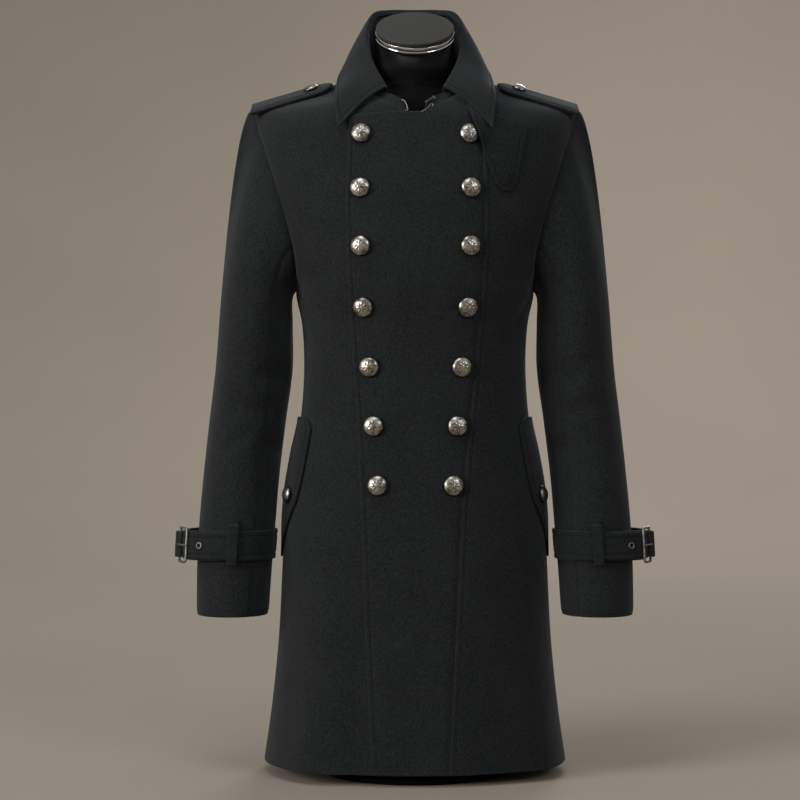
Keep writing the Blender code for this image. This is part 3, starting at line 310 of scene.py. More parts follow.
WOOL = wool_finish("charcoal wool", (0.0034, 0.0040, 0.0043, 1.0), (0.0208, 0.0232, 0.0244, 1.0))
WOOL_TRIM = wool_finish("charcoal wool, small pieces", (0.0031, 0.0037, 0.0040, 1.0),
                        (0.0188, 0.0210, 0.0222, 1.0))


def thread_finish():
    """Sewing thread: dark and nearly dull, with a fine twist."""
    thread = Finish("black thread", Roughness=0.75, Specular_IOR_Level=0.15)
    twist = thread.noise(2600.0, 2.0, 0.6, (1.0, 1.0, 0.5))
    thread.feed(Base_Color=thread.mix(twist, (0.003, 0.003, 0.0033, 1.0), (0.012, 0.012, 0.0125, 1.0)))
    thread.bump(twist, 0.0002)
    return thread.material


THREAD = thread_finish()
print("cloth finishes:", WOOL.name, "/", WOOL_TRIM.name, "/", THREAD.name)

# %% [markdown]
# ## The shape of the body
# The body of the coat is read from two tables, one for the front and one for the back. Each row is one
# section: its height and half width at the middle and at the side, its depth at both, and how the
# height bends between them. A section is a rounded rectangle (a superellipse), and its height lies on
# the row's line. Soft folds and creases then push the cloth in and out.

# %% Sizes of the body
CLOTH = 0.0020
SEAM = 0.0003
LAP_GAP = 0.0004
LIFT = CLOTH + LAP_GAP
SIDE_Y = 0.008
SQUARE = 2.4
ARMPIT = 9
NECK = 15
TOP = 18
GIRTH = 0.17
ROW_STEP = 0.0055
COLUMN_STEP = 0.0058
HEM_STEPS = np.array([0.0, 0.001, 0.0025, 0.004, 0.006])
ANGLE_NUDGE = 0.01
LEVEL_NUDGE = 0.04

Row = namedtuple("Row", "z_in z_out x_in x_out y_mid y_out bend")
FRONT = [
    Row(0.015, 0.0150, 0.000, 0.2010, -0.1380, SIDE_Y, 2.0),
    Row(0.090, 0.0900, 0.000, 0.1905, -0.1310, SIDE_Y, 2.0),
    Row(0.180, 0.1800, 0.000, 0.1815, -0.1240, SIDE_Y, 2.0),
    Row(0.280, 0.2800, 0.000, 0.1765, -0.1180, SIDE_Y, 2.0),
    Row(0.365, 0.3650, 0.000, 0.1720, -0.1140, SIDE_Y, 2.0),
    Row(0.425, 0.4250, 0.000, 0.1625, -0.1115, SIDE_Y, 2.0),
    Row(0.475, 0.4750, 0.000, 0.1520, -0.1095, SIDE_Y, 2.0),
    Row(0.540, 0.5400, 0.000, 0.1475, -0.1090, SIDE_Y, 2.0),
    Row(0.600, 0.5980, 0.000, 0.1500, -0.1128, SIDE_Y, 2.0),
    Row(0.648, 0.6380, 0.000, 0.1580, -0.1185, SIDE_Y, 2.0),
    Row(0.688, 0.6620, 0.000, 0.1575, -0.1200, -0.040, 2.0),
    Row(0.725, 0.6980, 0.000, 0.1610, -0.1190, -0.057, 2.0),
    Row(0.770, 0.7450, 0.000, 0.1735, -0.1150, -0.058, 2.0),
    Row(0.815, 0.7940, 0.000, 0.1880, -0.1080, -0.049, 2.0),
    Row(0.850, 0.8320, 0.000, 0.2000, -0.1010, -0.035, 1.8),
    Row(0.873, 0.8540, 0.012, 0.2075, -0.0945, -0.021, 1.5),
    Row(0.893, 0.8725, 0.045, 0.2125, -0.0735, -0.010, 1.3),
    Row(0.911, 0.8835, 0.066, 0.2160, -0.0330, -0.001, 1.1),
    Row(0.932, 0.8905, 0.080, 0.2190, 0.0075, SIDE_Y, 1.0),
]
BACK_DEPTHS = [0.1340, 0.1270, 0.1200, 0.1150, 0.1120, 0.1070, 0.1000, 0.0935, 0.0965, 0.1020]
BACK = [row._replace(y_mid=depth) for row, depth in zip(FRONT, BACK_DEPTHS)] + [
    Row(0.696, 0.6620, 0.000, 0.1600, 0.1065, 0.046, 2.0),
    Row(0.743, 0.6980, 0.000, 0.1655, 0.1090, 0.062, 2.0),
    Row(0.796, 0.7450, 0.000, 0.1770, 0.1085, 0.067, 2.0),
    Row(0.852, 0.7940, 0.000, 0.1910, 0.1030, 0.062, 1.8),
    Row(0.905, 0.8320, 0.000, 0.2020, 0.0900, 0.051, 1.5),
    Row(0.946, 0.8540, 0.000, 0.2090, 0.0740, 0.039, 1.2),
    Row(0.9455, 0.8735, 0.032, 0.2135, 0.0650, 0.028, 1.1),
    Row(0.9395, 0.8845, 0.062, 0.2165, 0.0400, 0.017, 1.05),
    Row(0.932, 0.8905, 0.080, 0.2190, 0.0085, SIDE_Y, 1.0),
]
BODY = {"front": FRONT, "back": BACK}

# %% Folds and creases
Fold = namedtuple("Fold", "angle width depth top")
FOLDS = {
    "front": [Fold(-0.66, 0.24, 0.0105, 0.480), Fold(-0.33, 0.11, -0.0026, 0.480),
              Fold(0.55, 0.20, -0.0035, 0.420), Fold(0.95, 0.22, 0.0040, 0.380)],
    "back": [Fold(-0.90, 0.20, 0.0050, 0.380), Fold(-0.40, 0.17, -0.0045, 0.400),
             Fold(0.45, 0.18, -0.0040, 0.420), Fold(0.92, 0.22, 0.0050, 0.380)],
}
Crease = namedtuple("Crease", "u0 z0 u1 z1 width depth")
CREASES = {
    "front": [Crease(-0.235, 0.650, -0.150, 0.600, 0.011, -0.0022),
              Crease(0.230, 0.648, 0.160, 0.585, 0.012, -0.0020),
              Crease(-0.235, 0.585, -0.165, 0.560, 0.009, -0.0016),
              Crease(0.225, 0.572, 0.150, 0.550, 0.009, -0.0014),
              Crease(-0.178, 0.780, -0.150, 0.690, 0.013, -0.0022),
              Crease(0.178, 0.775, 0.145, 0.680, 0.014, -0.0020)],
    "back": [Crease(-0.215, 0.690, -0.110, 0.610, 0.012, -0.0028),
             Crease(0.215, 0.695, 0.125, 0.600, 0.013, -0.0025),
             Crease(-0.190, 0.590, -0.060, 0.545, 0.010, -0.0024),
             Crease(0.200, 0.575, 0.080, 0.552, 0.010, -0.0022),
             Crease(-0.150, 0.545, -0.040, 0.520, 0.009, -0.0016),
             Crease(0.165, 0.800, 0.130, 0.690, 0.014, -0.0024),
             Crease(-0.170, 0.790, -0.140, 0.700, 0.013, -0.0022)],
}
CREASE_BEYOND = 0.15
CREASE_FADE = 0.45


def trough(u, z, row):
    """A crease: a bell-shaped push across its line, which fades at both ends of the line."""
    du = row.u1 - row.u0
    dz = row.z1 - row.z0
    length = math.hypot(du, dz)
    along = ((u - row.u0) * du + (z - row.z0) * dz) / length ** 2
    apart = ((u - row.u0) * dz - (z - row.z0) * du) / length
    fade = smooth((along + CREASE_BEYOND) / CREASE_FADE) * smooth((1.0 + CREASE_BEYOND - along) / CREASE_FADE)
    return row.depth * np.exp(-(apart / row.width) ** 2) * fade


# %% The coat's inner face
def signed_power(value, power):
    """Power of the size, with the sign kept."""
    return np.sign(value) * np.abs(value) ** power


def reach_of(row):
    """Half width that a section would have if it ran on to the side line."""
    share = np.clip((row.y_out - SIDE_Y) / (row.y_mid - SIDE_Y), 0.0, 0.98)
    return row.x_out / (1.0 - share ** SQUARE) ** (1.0 / SQUARE)


def surface(half, level, angle):
    """Inner face of the coat: x is the reach times a power of the sine, y the depth times a power of the
    cosine, z runs from the middle's height to the side's; folds push along the angle's own way."""
    level, angle = np.broadcast_arrays(np.asarray(level, float), np.asarray(angle, float))
    row = read_rows(BODY[half], level)
    x = reach_of(row) * signed_power(np.sin(angle), 2.0 / SQUARE)
    y = SIDE_Y + (row.y_mid - SIDE_Y) * signed_power(np.cos(angle), 2.0 / SQUARE)
    share = np.clip((np.abs(x) - row.x_in) / (row.x_out - row.x_in), 0.0, None)
    z = row.z_in + (row.z_out - row.z_in) * share ** row.bend
    push = np.zeros(level.shape)
    for fold in FOLDS[half]:
        rise = smooth((fold.top - z) / (fold.top - FRONT[0].z_in))
        push = push + fold.depth * rise * np.exp(-((angle - fold.angle) / fold.width) ** 2)
    for crease in CREASES[half]:
        push = push + trough(angle * GIRTH, z, crease)
    forth = -1.0 if half == "front" else 1.0
    return np.stack([x + push * np.sin(angle), y + forth * push * np.cos(angle), z], axis=-1)


def angle_at(half, level, x):
    """Angle of the section's point at a place across."""
    reach = reach_of(read_rows(BODY[half], level))
    return np.sign(x) * np.arcsin(np.clip(np.abs(x) / reach, 0.0, 1.0) ** (SQUARE / 2.0))


def outward(half, level, angle):
    """Direction out of the coat: the step round it crossed with the step up it."""
    level, angle = np.broadcast_arrays(np.asarray(level, float), np.asarray(angle, float))
    across = surface(half, level, angle + ANGLE_NUDGE) - surface(half, level, angle - ANGLE_NUDGE)
    low = surface(half, np.maximum(level - LEVEL_NUDGE, 0.0), angle)
    high = surface(half, np.minimum(level + LEVEL_NUDGE, TOP), angle)
    normal = np.cross(across, high - low) * (1.0 if half == "front" else -1.0)
    normal[..., 1] = np.where(level > TOP - 0.01, 0.0, normal[..., 1])
    return unit(normal)


def end_angle(half, level):
    """Angle of the side seam or the armhole edge."""
    return angle_at(half, level, read_rows(BODY[half], level).x_out)


def levels_by_height(step):
    """Levels so that the rows are about a step apart up the coat, closer at the hem."""
    heights = np.array([row.z_in for row in FRONT])
    hem = heights[0] + HEM_STEPS
    return np.interp(np.concatenate([hem, np.arange(hem[-1] + step, heights[-1], step), heights[-1:]]),
                     heights, np.arange(TOP + 1.0))


LEVELS = levels_by_height(ROW_STEP)
print("rows up the coat:", len(LEVELS))

# %% [markdown]
# ## Edges and seams
# What tells a tailored coat from a plain tube is its edges. A free edge is turned and stitched a few
# millimetres in, so it stands as a small welt with a groove beside it, and a seam sinks a little. Both
# depend only on the distance from an edge, so rows and columns crowd together near the edges.

# %% Edge profiles
EDGE_STEPS = np.array([0.0, 0.9, 2.0, 3.2, 4.3, 5.2, 6.0, 6.8, 7.8, 9.2, 11.5, 15.0]) * 1e-3
WELT_INSET = 0.0060
WELT_WIDTH = 0.0013
WELT_DEPTH = 0.0008
SEAM_WIDTH = 0.0042
SEAM_DEPTH = 0.0013
SEAM_DRAW = 0.0009
FOLLOW = 6.0


def shares(width, step, first=True, last=True):
    """Places from 0 to 1 across a piece of a width: even steps, with fine ones at the ends asked for."""
    start = EDGE_STEPS if first else np.zeros(1)
    stop = EDGE_STEPS if last else np.zeros(1)
    room = width - start[-1] - stop[-1]
    middle = start[-1] + room * np.linspace(0.0, 1.0, max(int(room / step), 1) + 1)[1:-1]
    return np.concatenate([start, middle, width - stop[::-1]]) / width


def edge_distances(grid):
    """Distances along the grid from its first row, last row, first column and last column."""
    up = runs(grid)
    across = np.swapaxes(runs(np.swapaxes(grid, 0, 1)), 0, 1)
    return up, up[-1] - up, across, across[:, -1:] - across


def finish_edges(grid, out, welts=(), seams=(), depth=WELT_DEPTH):
    """Grid with a stitched groove beside the edges in welts, and sunk along the edges in seams; edges are
    0 first row, 1 last row, 2 first column and 3 last column."""
    apart = edge_distances(grid)
    push = np.zeros(grid.shape[:2])
    if welts:
        near = np.min([apart[edge] for edge in welts], axis=0)
        push -= depth * np.exp(-((near - WELT_INSET) / WELT_WIDTH) ** 2)
        push -= depth * 0.4 * smooth(1.0 - near / 0.0015)
    for edge in seams:
        push -= SEAM_DEPTH * np.exp(-(apart[edge] / SEAM_WIDTH) ** 2)
    return grid + out * push[..., None]


def pull_in(grid, first_row=0.0, last_row=0.0, first_column=0.0, last_column=0.0):
    """Grid with its edges drawn in along its own surface by the distances given; the points behind an
    edge follow it less and less, over FOLLOW times the distance."""
    edges = ((0, 1, first_row), (0, -1, last_row), (1, 1, first_column), (1, -1, last_column))
    for axis, way, inset in edges:
        rows = np.moveaxis(grid, axis, 0)[::way]
        steps = np.diff(rows, axis=0)
        ahead = unit(np.concatenate([steps, steps[-1:]]))
        inset = np.ravel(inset)
        follow = inset * np.clip(1.0 - runs(rows) / (FOLLOW * inset + 1e-9), 0.0, 1.0)
        grid = np.moveaxis((rows + ahead * follow[..., None])[::way], 0, axis)
    return grid


def sew(node, grid, thick, finish, slot, rests_on, out=None, rim=3, power=1.0):
    """One cloth piece: a wall on the grid; the size of the grid's own flat cut is printed."""
    piece = put(node + "_cloth", *wall(grid, thick, out, rim, power), finish, slot, node)
    width, length, area = flat_size(grid)
    rows, columns = grid.shape[:2]
    print(f"{node}: {rows} by {columns} points, cut {width * 100:.1f} by {length * 100:.1f} cm")


# %% [markdown]
# ## The back
# Two panels meet in a centre seam. They carry the coat's weight from the shoulders and flare below the
# waist, with a few long folds in the skirt.

# %% Back panels
BACK_WIDTH = 0.20
SIDES = ((1, "left"), (-1, "right"))


def back_panel(side):
    """Angle runs from the centre seam, or the neckline, to the side seam or the armhole."""
    level = LEVELS[:, None]
    start = angle_at("back", level, read_rows(BACK, level).x_in)
    angle = side * (start + (end_angle("back", level) - start) * shares(BACK_WIDTH, COLUMN_STEP))
    out = outward("back", level, angle)
    grid = surface("back", level, angle) + out * CLOTH
    grid = pull_in(grid, CLOTH / 2, SEAM, SEAM_DRAW, SEAM_DRAW)
    grid = finish_edges(grid, out, seams=(1, 2, 3))
    return (grid[:, ::-1], out[:, ::-1]) if side > 0 else (grid, out)


for side, word in SIDES:
    grid, out = back_panel(side)
    sew("back_" + word, grid, CLOTH, WOOL, "wool", ["form_torso"], out)

# %% [markdown]
# ## The front
# The right front reaches under the left one. Over it lies the plastron, a wide lap that is stitched to
# the left front along a slanting line and ends in a free edge on the right. The lap has to stand off by
# a cloth's thickness, and that height fades out towards the left side.

# %% Lap lines and the lift of the lap
Line = namedtuple("Line", "z x")
LAP_EDGE = [Line(0.015, 0.056), Line(0.207, 0.0655), Line(0.446, 0.074), Line(0.660, 0.087),
            Line(0.757, 0.090), Line(0.873, 0.087)]
LAP_SEAM = [Line(0.015, 0.043), Line(0.170, 0.051), Line(0.369, 0.0606), Line(0.504, 0.0735),
            Line(0.644, 0.086), Line(0.750, 0.090), Line(0.830, 0.087), Line(0.873, 0.078),
            Line(0.911, 0.066)]
LIFT_FROM = 0.055
LIFT_FADE = 0.080
LIFT_NECK_SHIFT = 0.070
LIFT_NECK_SPAN = 4.0
NECK_EASE_FROM = 13.0
NECK_EASE = 0.0014
UNDERLAP = 0.6
RIGHT_WIDTH = 0.26
LAP_WIDTH = 0.16
LEFT_WIDTH = 0.15
LAP_TOP_STEPS = np.array([0.8, 0.6, 0.4, 0.25, 0.12, 0.0])
NECK_ROUNDS = 30
SEARCH_ROUNDS = 24
SEARCH_GAIN = 14.0


def line_x(table, z):
    """Half width of a line on the front at a height."""
    return np.interp(z, [row.z for row in table], [row.x for row in table])


def lap_lift(x, level):
    """How far the lapping side stands off the plain section."""
    start = LIFT_FROM - LIFT_NECK_SHIFT * smooth((level - NECK_EASE_FROM) / LIFT_NECK_SPAN)
    return LIFT * (1.0 - smooth((x - start) / LIFT_FADE))


# %% Right front, plastron and left front
def front_grid(level, angle, lift):
    """Outer face of a front panel: the inner face moved out by the lift and the cloth."""
    out = outward("front", level, angle)
    return surface("front", level, angle) + out * (lift + CLOTH)[..., None], out


def right_front():
    """Columns run from the armhole or side seam to the hidden edge under the lap."""
    level = LEVELS[:, None]
    row = read_rows(FRONT, level)
    edge = line_x(LAP_EDGE, row.z_in)
    hidden = UNDERLAP * (line_x(LAP_SEAM, row.z_in) + edge) - edge
    inner = hidden + (-row.x_in - hidden) * np.clip(level - NECK + 1.0, 0.0, 1.0)
    start = angle_at("front", level, inner)
    angle = (start + (-end_angle("front", level) - start) * shares(RIGHT_WIDTH, COLUMN_STEP))[:, ::-1]
    grid, out = front_grid(level, angle, np.zeros(angle.shape))
    return finish_edges(pull_in(grid, CLOTH / 2, SEAM, SEAM_DRAW, 0.0), out, seams=(1, 2)), out


def lap_places():
    """Levels and places across of the plastron: its top follows the neckline on the left."""
    column = shares(LAP_WIDTH, ROW_STEP)
    neck = np.arange(NECK, TOP + 1.0)
    neck_rows = read_rows(FRONT, neck)
    top = np.full(column.shape, float(NECK))
    for _ in range(NECK_ROUNDS):
        height = np.interp(top, neck, neck_rows.z_in)
        seam = line_x(LAP_SEAM, height)
        edge = line_x(LAP_EDGE, height)
        top = np.interp(column * (seam + edge) - edge, neck_rows.x_in, neck)
    rise = LEVELS[LEVELS < NECK]
    last = NECK - (NECK - rise[-1]) * LAP_TOP_STEPS
    rows = np.concatenate([rise[:-1], last])[:, None]
    level = rows + (top - NECK) * np.clip((rows - NECK_EASE_FROM) / (NECK - NECK_EASE_FROM), 0.0, 1.0)
    height = read_rows(FRONT, level).z_in
    edge = line_x(LAP_EDGE, height)
    return level, column * (line_x(LAP_SEAM, height) + edge) - edge


def plastron():
    """Columns run from the free edge on the right to the seam on the left."""
    level, x = lap_places()
    grid, out = front_grid(level, angle_at("front", level, x), lap_lift(x, level))
    draw = SEAM_DRAW + NECK_EASE * smooth(level[:, -1:] - NECK_EASE_FROM)
    grid = pull_in(grid, CLOTH / 2, NECK_EASE, CLOTH / 2, draw)
    return finish_edges(grid, out, welts=(2,), seams=(3,)), out


def left_front():
    """Columns run from the lap's seam, or the neckline, to the side seam or the armhole."""
    level = LEVELS[:, None]
    row = read_rows(FRONT, level)
    inner = np.where(level < TOP - 1, line_x(LAP_SEAM, row.z_in), row.x_in)
    start = angle_at("front", level, inner)
    angle = start + (end_angle("front", level) - start) * shares(LEFT_WIDTH, COLUMN_STEP)
    x = surface("front", level, angle)[..., 0]
    grid, out = front_grid(level, angle, lap_lift(x, level))
    grid = pull_in(grid, CLOTH / 2, SEAM, SEAM_DRAW, SEAM_DRAW)
    return finish_edges(grid, out, welts=(2,), seams=(1, 3)), out


FRONTS = {"front_right": right_front(), "front_plastron": plastron(), "front_left": left_front()}
for node, (grid, out) in FRONTS.items():
    sew(node, grid, CLOTH, WOOL, "wool", ["form_torso"], out)


def front_place(x, z, off):
    """Points on the front's outer face at places across and up, moved out, and their directions out. The
    level is found by stepping it until its height is the one asked for."""
    x, z, off = np.broadcast_arrays(*(np.asarray(value, float) for value in (x, z, off)))
    level = np.interp(z, [row.z_in for row in FRONT], np.arange(TOP + 1.0))
    for _ in range(SEARCH_ROUNDS):
        row = read_rows(FRONT, level)
        share = np.clip((np.abs(x) - row.x_in) / (row.x_out - row.x_in), 0.0, None)
        height = row.z_in + (row.z_out - row.z_in) * share ** row.bend
        level = np.clip(level + (z - height) * SEARCH_GAIN, 0.0, TOP)
    angle = angle_at("front", level, x)
    out = outward("front", level, angle)
    return surface("front", level, angle) + out * (lap_lift(x, level) + CLOTH + off)[..., None], out


# %% [markdown]
# ## The sleeves
# A tailored sleeve is two panels, a top and an under sleeve. The head rises to the shoulder point, so
# each line of the sleeve leaves the armhole along a Bezier curve that turns into the arm's sections.
# The arm hangs a little forward and carries soft creases at the elbow.

# %% Sizes of the sleeves
SleeveRow = namedtuple("SleeveRow", "z x y half_width half_depth")
SLEEVE = [
    SleeveRow(0.605, 0.2145, 0.004, 0.0495, 0.070),
    SleeveRow(0.540, 0.2170, 0.003, 0.0520, 0.067),
    SleeveRow(0.470, 0.2255, 0.000, 0.0515, 0.063),
    SleeveRow(0.400, 0.2330, -0.007, 0.0510, 0.059),
    SleeveRow(0.335, 0.2380, -0.017, 0.0510, 0.056),
    SleeveRow(0.280, 0.2410, -0.026, 0.0500, 0.053),
    SleeveRow(0.213, 0.2430, -0.036, 0.0480, 0.050),
]
ARM = 0.055
SLEEVE_CREASES = [
    Crease(2.2 * ARM - 0.03, 0.535, 2.2 * ARM + 0.03, 0.530, 0.016, -0.0040),
    Crease(1.7 * ARM - 0.035, 0.492, 1.7 * ARM + 0.03, 0.480, 0.014, -0.0035),
    Crease(2.5 * ARM - 0.03, 0.440, 2.5 * ARM + 0.03, 0.430, 0.014, -0.0030),
    Crease(1.1 * ARM, 0.560, 2.0 * ARM, 0.515, 0.009, -0.0022),
    Crease(0.9 * ARM, 0.425, 1.9 * ARM, 0.462, 0.009, -0.0018),
    Crease(4.3 * ARM, 0.520, 5.2 * ARM, 0.490, 0.011, -0.0024),
    Crease(4.1 * ARM, 0.465, 5.0 * ARM, 0.470, 0.010, -0.0022),
    Crease(4.6 * ARM, 0.415, 5.4 * ARM, 0.430, 0.010, -0.0016),
]
HEAD_LEAVE_TOP = 0.07
HEAD_LEAVE_MORE = 0.10
HEAD_ARRIVE = 0.45
HEAD_STEPS = np.concatenate([[0.0, 0.004, 0.010, 0.018, 0.028], np.linspace(0.045, 1.0, 34)[:-1]])
ARMHOLE_ROWS = 91
LOOK_BACK = 0.15
TUCK_FADE = 1.3
TUCK = -0.0004
HEM_ROLL = 0.0075
HEM_ROLL_IN = 0.0012
FRONT_SEAM_LEVEL = 11
HIND_SEAM_LEVEL = 13


# %% From the armhole to the cuff
def armhole(side):
    """Ring of the armhole's outer edge from the shoulder down the front and up the back: its points, the
    ways the sleeve leaves it, the body's own way out, its turns and the turns of the two sleeve seams."""
    down = np.linspace(TOP, ARMPIT, ARMHOLE_ROWS)
    points, leave, hold = [], [], []
    for half, level in (("front", down), ("back", down[::-1][1:])):
        angle = end_angle(half, level)
        normal = outward(half, level, angle)
        face = surface(half, level, angle)
        ahead = unit(face - surface(half, level, angle - LOOK_BACK))
        weight = smooth((level - ARMPIT) / (TOP - ARMPIT) * TUCK_FADE)[:, None]
        way = unit(weight * ahead + (1.0 - weight) * normal)
        points.append(face + normal * (TUCK + (CLOTH - TUCK) * weight))
        leave.append(way)
        hold.append(normal * weight)
    mirror = np.array([side, 1.0, 1.0])
    points, leave, hold = (np.concatenate(each) * mirror for each in (points, leave, hold))
    run = runs(points)
    bottom = len(down) - 1
    turn = np.where(run <= run[bottom], run / run[bottom],
                    1.0 + (run - run[bottom]) / (run[-1] - run[bottom])) * math.pi
    seams = (np.interp(FRONT_SEAM_LEVEL, down[::-1], turn[:bottom + 1][::-1]),
             np.interp(HIND_SEAM_LEVEL, down[::-1], turn[bottom:]))
    return points, leave, hold, turn, seams


def sleeve_face(side, level, turn, off=0.0, creased=True):
    """Outer face of the sleeve below the biceps: an ellipse about the arm's line, moved out by off."""
    level, turn = np.broadcast_arrays(np.asarray(level, float), np.asarray(turn, float))
    row = read_rows(SLEEVE, level)
    out = unit(np.stack([np.cos(turn) / row.half_width, -np.sin(turn) / row.half_depth], axis=-1))
    push = np.zeros(turn.shape) + off
    for crease in SLEEVE_CREASES if creased else ():
        push = push + trough(np.mod(turn, 2 * math.pi) * ARM, row.z, crease)
    x = row.x + row.half_width * np.cos(turn) + out[..., 0] * push
    y = row.y - row.half_depth * np.sin(turn) + out[..., 1] * push
    return np.stack([side * x, y, row.z], axis=-1)


def sleeve_panel(side, turn):
    """Rows from the armhole to the cuff: a cubic Bezier for the head, then the arm's sections."""
    points, leave, hold, ring_turn, _ = armhole(side)

    def on_ring(values):
        place = np.mod(turn, 2 * math.pi)
        return np.stack([np.interp(place, ring_turn, values[:, axis]) for axis in range(3)], axis=-1)

    start, way, body_out = on_ring(points), unit(on_ring(leave)), on_ring(hold)
    end = sleeve_face(side, 0.0, turn)
    back_up = unit(end - sleeve_face(side, 0.4, turn))
    length = np.linalg.norm(end - start, axis=1, keepdims=True)
    first = start + way * length * (HEAD_LEAVE_TOP + HEAD_LEAVE_MORE * (1.0 - np.cos(turn)))[:, None]
    last = end + back_up * length * HEAD_ARRIVE
    step = HEAD_STEPS[:, None, None]
    rest = 1.0 - step
    head = (rest ** 3 * start + 3 * rest ** 2 * step * first + 3 * rest * step ** 2 * last + step ** 3 * end)
    heights = np.array([row.z for row in SLEEVE])
    cuff = heights[-1] + HEM_STEPS[::-1]
    z = np.concatenate([np.arange(heights[0], cuff[0] + ROW_STEP / 2, -ROW_STEP), cuff])
    level = np.interp(-z, -heights, np.arange(len(SLEEVE)))[:, None]
    grid = np.concatenate([head, sleeve_face(side, level, turn)])
    out = facing(grid)
    out *= np.sign((out[-1, :, :2] * (end - np.array([side * SLEEVE[0].x, 0.0, 0.0]))[:, :2]).sum())
    own = 1.0 - np.linalg.norm(body_out, axis=-1, keepdims=True)
    out[0] = unit(body_out + own * out[0])
    return grid, out


def sleeve(side, word):
    """Top sleeve over the outer side and under sleeve along the body, split at the two seams."""
    _, _, _, _, (front_seam, hind_seam) = armhole(side)
    for node, start, stop, width in (("top_sleeve_" + word, hind_seam - 2 * math.pi, front_seam, 0.29),
                                     ("under_sleeve_" + word, front_seam, hind_seam, 0.09)):
        turn = start + (stop - start) * shares(width, ROW_STEP)
        grid, out = sleeve_panel(side, turn)
        grid = pull_in(grid, 0.0, CLOTH / 2, SEAM_DRAW, SEAM_DRAW)
        grid = finish_edges(grid, out, seams=(0, 2, 3))
        rolled = smooth(1.0 - edge_distances(grid)[1] / HEM_ROLL)
        grid = grid - out * (HEM_ROLL_IN * rolled)[..., None]
        flip = slice(None, None, -1) if side > 0 else slice(None)
        sew(node, grid[:, flip], CLOTH, WOOL, "wool", ["front_" + word, "back_" + word], out[:, flip])


for side, word in SIDES:
    sleeve(side, word)

# %% [markdown]
# ## The collar
# The collar has a stand, sewn into the neckline, and a fall that turns over it at the roll line and
# ends in two long points. The fall is one sheet: a spline carried from the lip inside the roll, over
# it and down to the outer edge, for every place round the neck.

# %% Sizes of the collar
COLLAR_CLOTH = 0.0025
CollarRow = namedtuple("CollarRow", "roll_x roll_y roll_z edge_x edge_y edge_z")
COLLAR = [
    CollarRow(0.000, 0.066, 1.037, 0.000, 0.094, 0.937),
    CollarRow(0.033, 0.060, 1.036, 0.050, 0.085, 0.938),
    CollarRow(0.0555, 0.042, 1.029, 0.084, 0.059, 0.942),
    CollarRow(0.0645, 0.018, 1.006, 0.099, 0.028, 0.941),
    CollarRow(0.0645, -0.004, 0.983, 0.1035, 0.002, 0.9365),
    CollarRow(0.0595, -0.025, 0.959, 0.1065, -0.030, 0.919),
    CollarRow(0.0485, -0.047, 0.933, 0.1065, -0.077, 0.896),
    CollarRow(0.0370, -0.069, 0.911, 0.1010, -0.1100, 0.852),
]
COLLAR_STEPS = [0.10, 0.28, 0.52, 0.76, 1.0]
COLLAR_BULGE = 0.006
COLLAR_BULGE_OUT = 0.8
COLLAR_BULGE_UP = 0.5
COLLAR_BULGE_SKEW = 0.7
COLLAR_NUDGE = 0.02
LIP_IN = 0.0040
LIP_DOWN = 0.0060
LEAF_SHARE = 0.86
STAND_END = np.array([0.0145, -0.0870, 0.895])
STAND_INSIDE = 0.0009
STAND_GAP = 0.0045
UP = np.array([0.0, 0.0, 1.0])


# %% Stand and fall
def roll_and_edge(share):
    """Roll line and outer edge; share is 0 at the centre back and 1 or -1 at the leaves."""
    row = read_rows(COLLAR, np.abs(share) * (len(COLLAR) - 1))
    sign = np.where(share < 0, -1.0, 1.0)
    roll = np.stack([sign * row.roll_x, row.roll_y, row.roll_z], axis=-1)
    edge = np.stack([sign * row.edge_x, row.edge_y, row.edge_z], axis=-1)
    return roll, edge


def collar_rows(share):
    """Roll line, edge and lip, the way out to the edge and the way down from the roll."""
    roll, edge = roll_and_edge(share)
    after, _ = roll_and_edge(np.minimum(share + COLLAR_NUDGE, 1.0))
    before, _ = roll_and_edge(np.maximum(share - COLLAR_NUDGE, -1.0))
    along = unit(after - before)
    down = unit(along * along[..., 2:] - UP)
    away = unit((edge - roll) * np.array([1.0, 1.0, 0.0]))
    return roll, edge, roll - away * LIP_IN + down * LIP_DOWN, away, down


def neckline():
    """Neckline of the inner face, from the right front round the back to the left front."""
    level = np.linspace(NECK, TOP, 37)
    front = surface("front", level, angle_at("front", level, read_rows(FRONT, level).x_in))
    back = surface("back", level, angle_at("back", level, read_rows(BACK, level).x_in))
    left = np.concatenate([back[:-1], front[::-1]])
    return np.concatenate([(left * np.array([-1.0, 1.0, 1.0]))[:0:-1], left])


def collar_stand():
    """Rows from the neckline up to just under the lip: straight lines between the two."""
    line = neckline()
    run = runs(line)
    middle = len(line) // 2
    share = (run - run[middle]) / (run[-1] - run[middle])
    _, _, lip, _, down = collar_rows(np.clip(share / LEAF_SHARE, -1.0, 1.0))
    sign = np.where(share < 0, -1.0, 1.0)
    finish = STAND_END * np.stack([sign, np.ones_like(sign), np.ones_like(sign)], axis=-1)
    blend = smooth((np.abs(share) - LEAF_SHARE) / (1.0 - LEAF_SHARE))[:, None]
    top = lip + (finish - lip) * blend + down * STAND_GAP
    inward = unit(np.cross(unit(np.gradient(line, axis=0)), UP))
    foot = line + inward * (CLOTH + STAND_INSIDE)
    grid = foot + (top - foot) * shares(0.05, 0.004)[:, None, None]
    return grid, unit(np.cross(np.gradient(grid, axis=0), np.gradient(grid, axis=1)))


